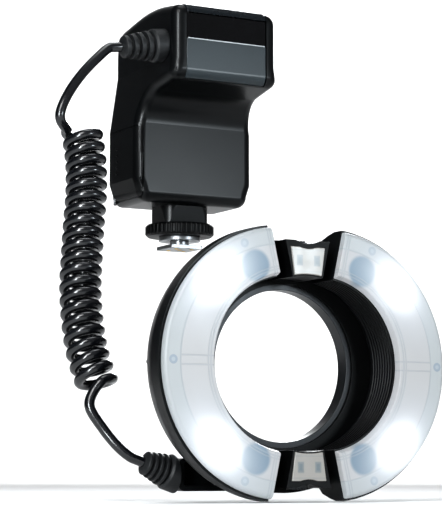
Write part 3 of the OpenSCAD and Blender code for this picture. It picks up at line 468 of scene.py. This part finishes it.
def diffuser_frost():
    """Milky plastic with two bright spots of painted glow from the flash tubes, painted shadows of the
    round trough ends and bosses behind it, and moulded lines behind it.
    """
    n = Nodes("diffuser_frost")
    split = n.add("ShaderNodeSeparateXYZ", {0: n.coords}).outputs
    across = n.math("ABSOLUTE", split["X"])
    height = n.math("ABSOLUTE", split["Z"])
    side = n.math("SUBTRACT", across, ARC_SPREAD)
    reach = n.length(side, height)
    angle = n.math("ARCTAN2", height, side)
    clouds = n.clouds(16 * MM)
    fine = n.grain(0.3 * MM)

    # painted glow: two bright spots where the flash tubes shine through, with a wider bluish painted
    # halo round them
    along = n.math("MULTIPLY", n.math("SUBTRACT", angle, SPOT_ANGLE), SPOT_REACH / SPOT_LONG)
    out = n.math("MULTIPLY", n.math("SUBTRACT", reach, SPOT_REACH), 1 / SPOT_WIDE)
    away = n.math("ADD", n.math("MULTIPLY", along, along), n.math("MULTIPLY", out, out))
    glow = n.math("EXPONENT", n.math("MULTIPLY", away, -1.0))
    halo = n.math("EXPONENT", n.math("MULTIPLY", away, HALO_FALL))

    trough = (TROUGH_REACH * math.cos(TROUGH_ANGLE), TROUGH_REACH * math.sin(TROUGH_ANGLE))
    end_boss = (BOSS_REACH * math.cos(BOSS_ANGLE), BOSS_REACH * math.sin(BOSS_ANGLE))
    side_boss = (BOSS_REACH, 0.0)
    # painted shadows of the bosses behind the cover, with lighter hubs
    boss_shadows, hubs = (
        n.math("MAXIMUM", *(n.disc(side, height, at, radius, soft) for at in (end_boss, side_boss)))
        for radius, soft in ((BOSS_R, BOSS_SOFT), (HUB_R, HUB_SOFT))
    )
    inner = n.length(n.math("SUBTRACT", across, INNER_SPREAD), height)
    end = n.math("SUBTRACT", across, n.math("MULTIPLY", height, math.tan(END_LEAN)))
    middle = n.spread(reach, 1.0, 0.0, STEP_REACH - LINE, STEP_REACH, smooth=True)
    lines = n.math("MULTIPLY", n.line(height, RIB_OFF, LINE, LINE), middle)
    places = [(reach, STEP_REACH)]
    places += [(inner, at) for at in INNER_LINES]
    places += [(end, END_START + at) for at in END_LINES]
    for value, at in places:
        lines = n.math("MAXIMUM", lines, n.line(value, at, LINE, LINE))

    # painted shadow: a bluish dark spot at each round trough end
    shade = n.disc(side, height, trough, TROUGH_R, TROUGH_SOFT)
    tone = n.mix(clouds, MILK_LOW, MILK_HIGH)
    tone = n.mix(middle, MILK_RIM, tone)
    tone = n.tinted(tone, shade, 0.92, TROUGH_SHADOW_TONE)
    tone = n.tinted(tone, lines, 0.45, LINE_TONE)
    tone = n.tinted(tone, boss_shadows, 0.85, BOSS_SHADOW_TONE)
    tone = n.tinted(tone, hubs, 0.8, HUB_TONE)
    tone = n.tinted(tone, halo, 0.75, HALO_TONE)
    tone = n.mix(glow, tone, WHITE)
    height_map = n.math("SUBTRACT", n.math("MULTIPLY", fine, 0.04), lines)
    # painted light: the whole cover glows a little, and much more in the spots
    return n.finish(n.add("ShaderNodeBsdfPrincipled", {
        "Base Color": n.mix(DIFFUSER_DIM, tone, BLACK),
        "Emission Color": tone,
        "Emission Strength": n.spread(glow, DIFFUSER_GLOW, SPOT_GLOW),
        "Roughness": n.spread(clouds, 0.3, 0.42, *CLOUD_RANGE),
        "Specular IOR Level": 0.35,
        "Normal": n.bump(height_map, 0.5, 0.12 * MM),
    }))


# Lamp covers: half sizes of the chips and their cores, across and along

CHIP_X = 4.7 * MM
CHIP_Z = 48.4 * MM
CHIP_HALF = (1.2 * MM, 2.0 * MM)
CHIP_SOFT = (0.9 * MM, 1.0 * MM)
CORE_HALF = (0.6 * MM, 1.2 * MM)
CORE_SOFT = (0.5 * MM, 0.6 * MM)
LAMP_RIMS = (43.2 * MM, 53.4 * MM)
LAMP_RIM_HALF = 0.2 * MM
LAMP_RIM_SOFT = 0.3 * MM
# Painted glow of the lamp cover, though its lamps are shown dim
LAMP_GLOW = 0.19
LAMP_DIM = 0.75
LAMP_LOW = (0.61, 0.6, 0.575, 1)
LAMP_HIGH = (0.68, 0.655, 0.61, 1)
LAMP_RIM_TONE = (0.45, 0.48, 0.5, 1)
CHIP_SHADOW_TONE = (0.33, 0.4, 0.44, 1)
CORE_SHADOW_TONE = (0.24, 0.32, 0.38, 1)


def lamp_window():
    """Milky lamp cover with a painted glow, and painted shadows of the two lamp chips dim behind it."""
    n = Nodes("lamp_window")
    split = n.add("ShaderNodeSeparateXYZ", {0: n.coords}).outputs
    across = n.math("ABSOLUTE", split["X"])
    height = n.math("ABSOLUTE", split["Z"])
    clouds = n.clouds(5 * MM)
    fine = n.grain(0.3 * MM)
    # painted shadows of the two lamp chips behind the cover
    chip, core = (
        n.math(
            "MULTIPLY",
            n.line(across, CHIP_X, half[0], soft[0]),
            n.line(height, CHIP_Z, half[1], soft[1]),
        )
        for half, soft in ((CHIP_HALF, CHIP_SOFT), (CORE_HALF, CORE_SOFT))
    )
    rim = n.math("MAXIMUM", *(n.line(height, at, LAMP_RIM_HALF, LAMP_RIM_SOFT) for at in LAMP_RIMS))
    tone = n.mix(clouds, LAMP_LOW, LAMP_HIGH)
    tone = n.tinted(tone, rim, 0.3, LAMP_RIM_TONE)
    tone = n.tinted(tone, chip, 0.75, CHIP_SHADOW_TONE)
    tone = n.tinted(tone, core, 0.45, CORE_SHADOW_TONE)
    return n.finish(n.add("ShaderNodeBsdfPrincipled", {
        "Base Color": n.mix(LAMP_DIM, tone, BLACK),
        "Emission Color": tone,
        "Emission Strength": LAMP_GLOW,
        "Roughness": n.spread(clouds, 0.16, 0.26, *CLOUD_RANGE),
        "Specular IOR Level": 0.4,
        "Normal": n.bump(fine, 0.3, 0.006 * MM),
    }))


# Display and its clear cover

DISPLAY_Z = 156 * MM
BAR_PITCH = 2.4 * MM
BAR_SHIFT = 20 * BAR_PITCH
BAR_EDGE = (0.3 * MM, 0.36 * MM)
BAR_RISE = -0.22
BARS_HALF = (13.2 * MM, 4.4 * MM)
FRAME_HALF = (15.4 * MM, 5.2 * MM)
FRAME_LINE = 0.12 * MM
DISPLAY_SOFT = 0.05 * MM
DISPLAY_LOW = (0.25, 0.3, 0.24, 1)
DISPLAY_HIGH = (0.29, 0.335, 0.27, 1)
SEGMENT_TONE = (0.03, 0.04, 0.045, 1)
DISPLAY_GLOW = 0.08
HAZE_LOW = (0.9, 0.93, 0.92, 1)
HAZE_HIGH = (0.96, 0.98, 0.97, 1)


def display_segments():
    """Grey display with a thin frame and a row of rising bars."""
    n = Nodes("display_segments")
    split = n.add("ShaderNodeSeparateXYZ", {0: n.coords}).outputs
    across, height = split["X"], split["Z"]
    clouds = n.clouds(6 * MM)
    place = n.math("PINGPONG", n.math("ADD", across, BAR_SHIFT), BAR_PITCH / 2)
    bars = n.spread(place, 0.0, 1.0, *BAR_EDGE)
    top = n.math("ADD", n.math("MULTIPLY", across, BAR_RISE), DISPLAY_Z)
    for limit in (
        n.math("LESS_THAN", height, top),
        n.line(height, DISPLAY_Z, BARS_HALF[1], DISPLAY_SOFT),
        n.line(across, 0.0, BARS_HALF[0], DISPLAY_SOFT),
    ):
        bars = n.math("MULTIPLY", bars, limit)
    off = (n.math("ABSOLUTE", across), n.math("ABSOLUTE", n.math("SUBTRACT", height, DISPLAY_Z)))
    sides = (n.line(value, half, FRAME_LINE, DISPLAY_SOFT) for value, half in zip(off, FRAME_HALF))
    rim = n.math("MAXIMUM", *sides)
    tone = n.mix(clouds, DISPLAY_LOW, DISPLAY_HIGH)
    return n.finish(n.add("ShaderNodeBsdfPrincipled", {
        "Base Color": n.mix(n.math("MAXIMUM", bars, rim), tone, SEGMENT_TONE),
        "Roughness": n.spread(clouds, 0.3, 0.4),
        "Emission Color": tone,
        "Emission Strength": DISPLAY_GLOW,
    }))


def clear_cover():
    """Clear plastic with a faint haze."""
    n = Nodes("clear_cover")
    haze = n.clouds(4 * MM)
    return n.finish(n.add("ShaderNodeBsdfPrincipled", {
        "Base Color": n.mix(haze, HAZE_LOW, HAZE_HIGH),
        "Roughness": n.spread(haze, 0.02, 0.06),
        "Transmission Weight": 1.0,
        "IOR": 1.2,
    }))


# Finishes

CASE = moulded("case_plastic", (0.003, 0.0035, 0.004), 0.3, specular=0.24, grain_depth=0.006 * MM,
               cloud=30 * MM, rough_spread=0.012)
FRAME = moulded("frame_plastic", (0.0016, 0.0018, 0.002), 0.42, specular=0.16)
HOUSING = moulded("housing_plastic", (0.0035, 0.004, 0.0045), 0.36, specular=0.26)
VISOR = moulded("visor_gloss", (0.007, 0.0095, 0.012), 0.28, specular=0.3, grain_depth=0.002 * MM)
WINDOW = moulded("window_gloss", (0.0022, 0.0023, 0.0028), 0.06, specular=0.32, grain_depth=0.0005 * MM)
PANEL = moulded("panel_satin", (0.018, 0.0255, 0.03), 0.3, specular=0.45, grain_depth=0.006 * MM,
                cloud=30 * MM, rough_spread=0.012)
RUBBER = moulded("boot_rubber", (0.011, 0.012, 0.013), 0.5, specular=0.4, grain=0.4 * MM)
KEY = moulded("key_plastic", (0.03, 0.033, 0.036), 0.4)
RED_KEY = moulded("red_key", (0.22, 0.014, 0.014), 0.38)
ANODISED = moulded("anodised", (0.02, 0.021, 0.023), 0.34, metallic=0.6, cloud_amount=0.1)
STEEL = moulded("satin_steel", (0.32, 0.33, 0.34), 0.36, metallic=1.0, grain=0.15 * MM,
                grain_depth=0.004 * MM)
SCREW = moulded("screw_steel", (0.16, 0.165, 0.17), 0.32, metallic=1.0, grain_depth=0.004 * MM)
BRASS = moulded("brass", (0.62, 0.42, 0.14), 0.28, metallic=1.0, grain_depth=0.003 * MM)
BOARD = moulded("board_green", (0.02, 0.11, 0.045), 0.4, cloud=3 * MM, cloud_amount=0.3)
# Painted highlight: light grey paint on the strip under the sensor window
EDGE_HIGHLIGHT_PAINT = moulded("painted_edge_highlight", (0.5, 0.53, 0.55), 0.25, grain_depth=0.002 * MM)
REFLECTOR = moulded("reflector", (0.8, 0.82, 0.85), 0.18, metallic=1.0, grain_depth=0.003 * MM)
LAMP_RED = moulded("lamp_red", (0.2, 0.004, 0.006), 0.15)
SLEEVE = moulded("capacitor_sleeve", (0.02, 0.035, 0.06), 0.3)
TRAY = moulded("tray_plastic", (0.03, 0.032, 0.034), 0.5)
CELL = moulded("cell_wrap", (0.22, 0.25, 0.29), 0.3, metallic=0.4)
DISPLAY = display_segments()
GLASS = clear_cover()
DIFFUSER = diffuser_frost()
LED_WINDOW = lamp_window()
TUBE = moulded("tube_glass", (0.8, 0.85, 0.9), 0.1)


# Control unit: the outline of its case in mm, and the skins that follow it

HEAD_FRONT = 50
BODY_FRONT = 84
BODY_BACK = 121
BODY_LOW = 89
THROAT_Z = 129
THROAT_R = 16
CHIN_SLOPE = 10
CROWN_Z = 189
ROOT_Z = 114
JAW_R = 6
BROW_R = 6
CROWN_R = 100
NAPE_R = 9
HEEL_R = 20
BROW_END = 97.6
NAPE_START = 80
NAPE_END = 20
BROW_RUN = 10
NAPE_RUN = 16.5
HEAD_HALF = 30
BODY_HALF = 34.5
FOOT_HALF = 32.5
FOOT_R = 6
FLANK_LOW = 101
FLANK_TOP = 128.5
SHOULDER_Z = 158.5
CASE_ROUND = 5.4
INSERT_HALF = 23.15
JAW_STEPS = 10
THROAT_STEPS = 20
FILL_OVERLAP = 1.5
BISECT_REACH = 0.0001 * MM

# How far a skin is drawn in, so that its faces don't lie in those of its solid
SKIN = 0.03


def head_outline(inset):
    """Side outline of the head and throat, drawn in by an inset."""
    brow, nape, heel, chin = (math.radians(a) for a in (BROW_END, NAPE_START, NAPE_END, CHIN_SLOPE))
    reach = CROWN_R - BROW_R
    brow_at = (
        HEAD_FRONT + BROW_R, CROWN_Z - CROWN_R + reach * math.sin(brow) + BROW_RUN * math.cos(brow),
    )
    crown_at = (
        brow_at[0] + BROW_RUN * math.sin(brow) - reach * math.cos(brow), CROWN_Z - CROWN_R,
    )
    nape_at = (
        crown_at[0] + (CROWN_R - NAPE_R) * math.cos(nape) + NAPE_RUN * math.sin(nape),
        crown_at[1] + (CROWN_R - NAPE_R) * math.sin(nape) - NAPE_RUN * math.cos(nape),
    )
    foot = (nape_at[0] + NAPE_R * math.cos(heel), nape_at[1] + NAPE_R * math.sin(heel))
    heel_top = BODY_BACK - HEEL_R * (1 - math.cos(heel))
    heel_at = (
        BODY_BACK - HEEL_R, foot[1] - (heel_top - foot[0]) / math.tan(heel) - HEEL_R * math.sin(heel),
    )
    throat_at = (BODY_FRONT - THROAT_R, THROAT_Z)
    throat_top = (throat_at[0] + THROAT_R * math.sin(chin), throat_at[1] + THROAT_R * math.cos(chin))
    jaw_y = HEAD_FRONT + JAW_R
    jaw_at = (
        jaw_y, throat_top[1] + (JAW_R + (throat_top[0] - jaw_y) * math.sin(chin)) / math.cos(chin),
    )
    return (
        arc(jaw_at, JAW_R - inset, 270 - CHIN_SLOPE, 180, JAW_STEPS)
        + arc(brow_at, BROW_R - inset, 180, BROW_END, 10)
        + arc(crown_at, CROWN_R - inset, BROW_END, NAPE_START, 6)
        + arc(nape_at, NAPE_R - inset, NAPE_START, NAPE_END, 10)
        + arc(heel_at, HEEL_R - inset, NAPE_END, 0, 5)
        + [(BODY_BACK - inset, ROOT_Z), (BODY_FRONT + inset, ROOT_Z)]
        + arc(throat_at, THROAT_R + inset, 0, 90 - CHIN_SLOPE, THROAT_STEPS)
    )


def lower_outline(inset):
    """Front outline of the lower body, drawn in by an inset."""
    foot = FOOT_HALF - inset
    low = BODY_LOW + inset
    right = arc((foot - FOOT_R, low + FOOT_R), FOOT_R, 270, 360, 8)
    right += [(BODY_HALF - inset, FLANK_LOW), (BODY_HALF - inset, FLANK_TOP)]
    right.append((HEAD_HALF - inset, SHOULDER_Z))
    return right + [(-x, z) for x, z in right[::-1]]


def flare(data):
    """Widens the head's form towards the body, as the body's own sides lean."""
    mesh = bmesh.new()
    mesh.from_mesh(data)
    for z in (FLANK_TOP, SHOULDER_Z):
        every = mesh.verts[:] + mesh.edges[:] + mesh.faces[:]
        bmesh.ops.bisect_plane(
            mesh, geom=every, plane_co=mm(0, 0, z), plane_no=(0, 0, 1), dist=BISECT_REACH,
        )
    for vert in mesh.verts:
        share = (SHOULDER_Z - vert.co.z / MM) / (SHOULDER_Z - FLANK_TOP)
        wider = (BODY_HALF - HEAD_HALF) * max(0, min(1, share))
        vert.co.x += math.copysign(wider * MM, vert.co.x)
    return to_data(mesh, "form")


def throat_fill(sign):
    """Material beside the throat, between the head's side and the leaning side of the body."""
    inner, outer = sorted((sign * (HEAD_HALF - FILL_OVERLAP), sign * BODY_HALF))
    points = head_outline(SKIN)
    deep = BODY_FRONT + FILL_OVERLAP
    outline = points[-THROAT_STEPS - 2:] + points[:JAW_STEPS + 1]
    outline += [(HEAD_FRONT + SKIN, SHOULDER_Z), (deep, SHOULDER_Z), (deep, ROOT_Z)]
    return prism(outline, inner, outer, "x", 0)


def insert_form(inset, edge):
    """The front insert's form: the head's outline, as wide as the insert."""
    return prism(head_outline(inset + SKIN), -INSERT_HALF, INSERT_HALF, "x", edge, 3)


head_side = HEAD_HALF - 2 * SKIN
case_form = combine(
    flare(prism(head_outline(2 * SKIN), -head_side, head_side, "x", CASE_ROUND)),
    prism(lower_outline(SKIN), BODY_FRONT + SKIN, BODY_BACK - SKIN, "y", CASE_ROUND),
    "UNION",
)
shell = to_data(clean_mesh("front_shell"), "front_shell")
for sign in (-1, 1):
    shell = combine(shell, throat_fill(sign), "UNION")
skin("front_shell", combine(shell, case_form.copy(), "INTERSECT"), CASE)
for node in ("rear_shell", "battery_door"):
    trimmed(node, case_form.copy(), CASE)
bpy.data.meshes.remove(case_form)

# Front insert: each piece's inset and the rounding of its sides, in mm

INSERTS = (
    ("visor", -0.5, 0.9, VISOR),
    ("sensor_window", 0.5, 0.35, WINDOW),
    ("lower_panel", 0.2, 0.5, PANEL),
)
for node, inset, edge, material in INSERTS:
    trimmed(node, insert_form(inset, edge), material)

# Other pieces with rounded edges, and the rounding in mm

ROUNDED = (
    ("ring_frame", 0.35, FRAME),
    ("left_housing", 0.3, HOUSING),
    ("left_diffuser", 0.5, DIFFUSER),
    ("led_window_top", 0.35, LED_WINDOW),
    ("right_housing", 0.3, HOUSING),
    ("right_diffuser", 0.5, DIFFUSER),
    ("led_window_bottom", 0.35, LED_WINDOW),
    ("adapter_ring", 0.3, ANODISED),
    ("cable_housing", 0.5, CASE),
    ("unit_boot", 0.3, RUBBER),
    ("ring_boot", 0.3, RUBBER),
    ("shoe_base", 0.4, CASE),
    ("lock_ring", 0.2, FRAME),
    ("ring_back_cover", 0.3, HOUSING),
    ("select_dial", 0.25, KEY),
    ("set_button", 0.5, KEY),
    ("power_button", 0.6, KEY),
    ("test_button", 0.6, RED_KEY),
    ("release_button_top", 0.5, KEY),
    ("release_button_bottom", 0.5, KEY),
    ("shoe_foot", 0.2, STEEL),
    ("clamp_plate", 0.3, STEEL),
)
for node, width, material in ROUNDED:
    rounded(node, width * MM, material)


# Small pieces of their own

def tube_along(mesh, sections):
    """A closed tube through rings of points that all have the same count."""
    rings = [[mesh.verts.new(p) for p in section] for section in sections]
    count = len(rings[0])
    for a, b in zip(rings, rings[1:]):
        for i in range(count):
            j = (i + 1) % count
            mesh.faces.new((a[i], a[j], b[j], b[i]))
    mesh.faces.new(rings[0][::-1])
    mesh.faces.new(rings[-1])


def smooth_piece(name, mesh, node, material, angle=40):
    """A piece beside a node, that rides on the node's body."""
    bmesh.ops.recalc_face_normals(mesh, faces=mesh.faces)
    data = to_data(mesh, name)
    smoothed(data, angle)
    piece(name, data, BODY_OF[node], SLOT_OF[node], material)


# Fine ribs on the inside wall of each half, in mm

RIB_SPREAD = 8.5
RIB_END = 7.5
RIB_WALL = 40.9
RIB_SECTION = [(0.15, -0.55), (-0.4, -0.12), (-0.4, 0.12), (0.15, 0.55)]
RIB_FIRST = -24
RIB_PITCH = 2.2
RIB_COUNT = 8
RIB_STEPS = 48
RIB_TRIM = 0.5


def rib_room(reach):
    """How far inside its half a rib stays, if it ends at an angle in degrees from the half's middle."""
    turn = math.radians(reach)
    end = RIB_END + math.tan(END_LEAN) * RIB_WALL * math.sin(turn)
    return RIB_SPREAD + RIB_WALL * math.cos(turn) - end


def tunnel_ribs(side, sign):
    mesh = bmesh.new()
    reach = 90.0
    while rib_room(reach) < 0:
        reach -= RIB_TRIM
    angles = [math.radians(reach * (2 * i / RIB_STEPS - 1)) for i in range(RIB_STEPS + 1)]
    for number in range(RIB_COUNT):
        y = RIB_FIRST + RIB_PITCH * number
        tube_along(mesh, [
            [
                mm(
                    sign * (RIB_SPREAD + (RIB_WALL + r) * math.cos(a)),
                    y + d,
                    (RIB_WALL + r) * math.sin(a),
                )
                for r, d in RIB_SECTION
            ]
            for a in angles
        ])
    smooth_piece(side + "_tunnel_ribs", mesh, side + "_housing", FRAME)


tunnel_ribs("left", -1)
tunnel_ribs("right", 1)


# Grip pips on the battery door, and a light strip that paints the edge highlight under the sensor
# window, in mm

PIP_SIDE = -34.5
PIP_Y = 108
PIP_LOW = 105.75
PIP_PITCH = 3.2
PIP_COUNT = 5
PIP_SIDES = 12
PIP_RINGS = [(0.75, -0.3), (0.75, 0.05), (0.62, 0.22), (0.38, 0.32), (0.1, 0.35)]
HIGHLIGHT_HALF = 22.3
HIGHLIGHT_SECTION = [
    (49.95, 168.62), (50.1, 168.5), (50.7, 168.5), (50.7, 169.0), (50.1, 169.0), (49.95, 168.88),
]
HIGHLIGHT_SHARP = 30


def door_pips():
    mesh = bmesh.new()
    turns = [math.radians(360 * k / PIP_SIDES) for k in range(PIP_SIDES)]
    for number in range(PIP_COUNT):
        z = PIP_LOW + PIP_PITCH * number
        tube_along(mesh, [
            [mm(PIP_SIDE - up, PIP_Y + r * math.cos(t), z + r * math.sin(t)) for t in turns]
            for r, up in PIP_RINGS
        ])
    smooth_piece("door_pips", mesh, "battery_door", CASE)


# painted highlight: a light grey strip where the sensor window's lower edge catches the light
def window_edge_highlight():
    mesh = bmesh.new()
    tube_along(mesh, [[mm(x, y, z) for y, z in HIGHLIGHT_SECTION] for x in (-HIGHLIGHT_HALF, HIGHLIGHT_HALF)])
    smooth_piece("window_edge_highlight", mesh, "sensor_window", EDGE_HIGHLIGHT_PAINT, HIGHLIGHT_SHARP)


door_pips()
window_edge_highlight()


# Screw heads with a cross recess, in mm

CROSS_LONG = 2.4
CROSS_WIDE = 0.5
CROSS_DEEP = 1.4
HEAD_EDGE = 0.1


def screw_heads(mesh):
    """The middle of each screw's head, at its back face."""
    heads = []
    waiting = set(mesh.verts)
    while waiting:
        screw, edge = set(), [waiting.pop()]
        while edge:
            vert = edge.pop()
            screw.add(vert)
            near = {e.other_vert(vert) for e in vert.link_edges} & waiting
            waiting -= near
            edge.extend(near)
        back = max(v.co.y for v in screw)
        rim = [v.co for v in screw if v.co.y > back - HEAD_EDGE * MM]
        middle = [(min(c[k] for c in rim) + max(c[k] for c in rim)) / 2 for k in (0, 2)]
        heads.append(Vector((middle[0], back, middle[1])))
    return heads


def crossed_screws(node):
    """The screws of a node, each with a cross cut in its head."""
    mesh = clean_mesh(node)
    heads = screw_heads(mesh)
    data = to_data(mesh, node)
    for size in ((CROSS_LONG, CROSS_DEEP, CROSS_WIDE), (CROSS_WIDE, CROSS_DEEP, CROSS_LONG)):
        bars = bmesh.new()
        for head in heads:
            bar = bmesh.ops.create_cube(bars, size=1.0)["verts"]
            bmesh.ops.scale(bars, vec=mm(*size), verts=bar)
            bmesh.ops.translate(bars, vec=head, verts=bar)
        data = combine(data, to_data(bars, "bars"), "DIFFERENCE")
    skin(node, data, SCREW)


for node in ("cover_screws", "case_screws"):
    crossed_screws(node)


# Solids that show as they are, or lie inside, with a finish of their own

PLAIN = {
    "left_reflectors": REFLECTOR,
    "right_reflectors": REFLECTOR,
    "left_flash_tubes": TUBE,
    "right_flash_tubes": TUBE,
    "left_guide_screws": SCREW,
    "right_guide_screws": SCREW,
    "left_diffuser_screws": SCREW,
    "right_diffuser_screws": SCREW,
    "led_board_top": BOARD,
    "led_board_bottom": BOARD,
    "sensor_board": BOARD,
    "sensor_lamps": LAMP_RED,
    "main_board": BOARD,
    "flash_capacitor": SLEEVE,
    "door_pin": SCREW,
    "battery_tray": TRAY,
    "battery_cells": CELL,
    "battery_contacts": BRASS,
    "display_window": GLASS,
    "display_panel": DISPLAY,
    "shoe_stem": STEEL,
    "shoe_contacts": BRASS,
}
for node, material in PLAIN.items():
    NODES[node].data.materials.clear()
    NODES[node].data.materials.append(material)


# Stage and light

FLOOR_Z = cad_low.z - 0.5 * MM
FLOOR_HALF = 9.0
FLOOR_FRONT = -6.0
BEND_START = 2.6
BEND_R = 1.2
WALL_TOP = 6.0
PAPER_LOW = (0.89, 0.89, 0.89, 1)
PAPER_HIGH = (0.91, 0.91, 0.91, 1)
PAPER_SHADE = (0.16, 0.165, 0.17, 1)
PAPER_CLOUD = 0.5
# Where the paper takes its painted shade: left, up and back
GREY_X = (-0.9, 1.1)
GREY_Y = (1.6, 2.8)
GREY_Z = (0.0, 0.5)
NEUTRAL = (1.0, 1.0, 1.0)
COOL = (0.95, 0.98, 1.0)
COOLER = (0.92, 0.97, 1.0)
COOLEST = (0.86, 0.95, 1.0)


def studio_paper():
    """White paper on the floor and behind, with painted shade that turns it grey up on its left."""
    n = Nodes("studio_paper")
    split = n.add("ShaderNodeSeparateXYZ", {0: n.coords}).outputs
    clouds = n.clouds(PAPER_CLOUD)
    left = n.spread(split["X"], 1.0, 0.0, *GREY_X, smooth=True)
    up = n.spread(split["Z"], 0.0, 1.0, *GREY_Z, smooth=True)
    back = n.spread(split["Y"], 0.0, 1.0, *GREY_Y, smooth=True)
    # painted shade: the wall darkens up, back and on the left, so the black plastics reflect a dim
    # studio there
    paper_shade = n.math("MULTIPLY", left, n.math("MULTIPLY", up, back))
    return n.finish(n.add("ShaderNodeBsdfPrincipled", {
        "Base Color": n.mix(paper_shade, n.mix(clouds, PAPER_LOW, PAPER_HIGH), PAPER_SHADE),
        "Roughness": n.spread(clouds, 0.86, 0.94),
        "Specular IOR Level": 0.1,
    }))


def make_stage():
    """A floor that bends up into a wall behind."""
    mesh = bmesh.new()
    profile = [(FLOOR_FRONT, 0.0)]
    profile += arc((BEND_START, BEND_R), BEND_R, 270, 360, 9)
    profile.append((BEND_START + BEND_R, WALL_TOP))
    rows = [
        [mesh.verts.new((x, y, FLOOR_Z + z)) for y, z in profile]
        for x in (-FLOOR_HALF, FLOOR_HALF)
    ]
    for i in range(len(profile) - 1):
        mesh.faces.new((rows[0][i], rows[0][i + 1], rows[1][i + 1], rows[1][i]))
    data = to_data(mesh, "floor")
    for face in data.polygons:
        face.use_smooth = True
    data.materials.append(studio_paper())
    floor = bpy.data.objects.new("floor", data)
    bpy.context.scene.collection.objects.link(floor)


def area_light(name, place, aim, size, power, color=NEUTRAL, spread=180):
    """A soft light of a size in metres, aimed at a point, with its spread in degrees."""
    data = bpy.data.lights.new(name, "AREA")
    data.shape = "RECTANGLE"
    data.size, data.size_y = size
    data.energy = power
    data.spread = math.radians(spread)
    data.color = color
    light = bpy.data.objects.new(name, data)
    light.location = place
    light.rotation_mode = "QUATERNION"
    light.rotation_quaternion = (Vector(aim) - Vector(place)).to_track_quat("-Z", "Y")
    bpy.context.scene.collection.objects.link(light)


def make_surround():
    """Faint light from all round, stronger from the front."""
    world = bpy.data.worlds.new("studio")
    world.use_nodes = True
    tree = world.node_tree
    sky = tree.nodes["Background"]
    sky.inputs["Color"].default_value = (0.95, 0.97, 1.0, 1)
    toward = tree.nodes.new("ShaderNodeSeparateXYZ")
    coords = tree.nodes.new("ShaderNodeTexCoord")
    level = tree.nodes.new("ShaderNodeMapRange")
    levels = {"From Min": -0.7, "From Max": 0.3, "To Min": 0.3, "To Max": 0.035}
    for key, value in levels.items():
        level.inputs[key].default_value = value
    tree.links.new(coords.outputs["Generated"], toward.inputs[0])
    tree.links.new(toward.outputs["Y"], level.inputs["Value"])
    tree.links.new(level.outputs["Result"], sky.inputs["Strength"])
    bpy.context.scene.world = world


make_stage()
area_light("key", (-0.9, -0.9, 1.2), (0, 0.05, 0.1), (0.7, 0.7), 2.0, spread=70)
area_light("top", (0.15, 0.1, 1.6), (0.05, 0, 0.1), (0.9, 0.7), 1.3, COOL, 80)
area_light("front", (0.6, -1.25, 0.2), (0, 0.08, 0.1), (0.24, 0.16), 5.0, COOLEST)
area_light("strip", (-0.95, -0.8, 0.15), (0, 0.05, 0.08), (0.14, 0.9), 20, COOLER)
area_light("back", (0.9, 1.3, 0.8), (0, 0.1, 0.1), (0.7, 0.7), 2.0, COOL, 60)
area_light("backdrop", (2.2, 1.6, 2.0), (2.1, 3.8, 0.5), (2.4, 1.0), 72)
make_surround()
bpy.context.scene.view_settings.view_transform = "Standard"
bpy.context.scene.view_settings.look = "Medium High Contrast"
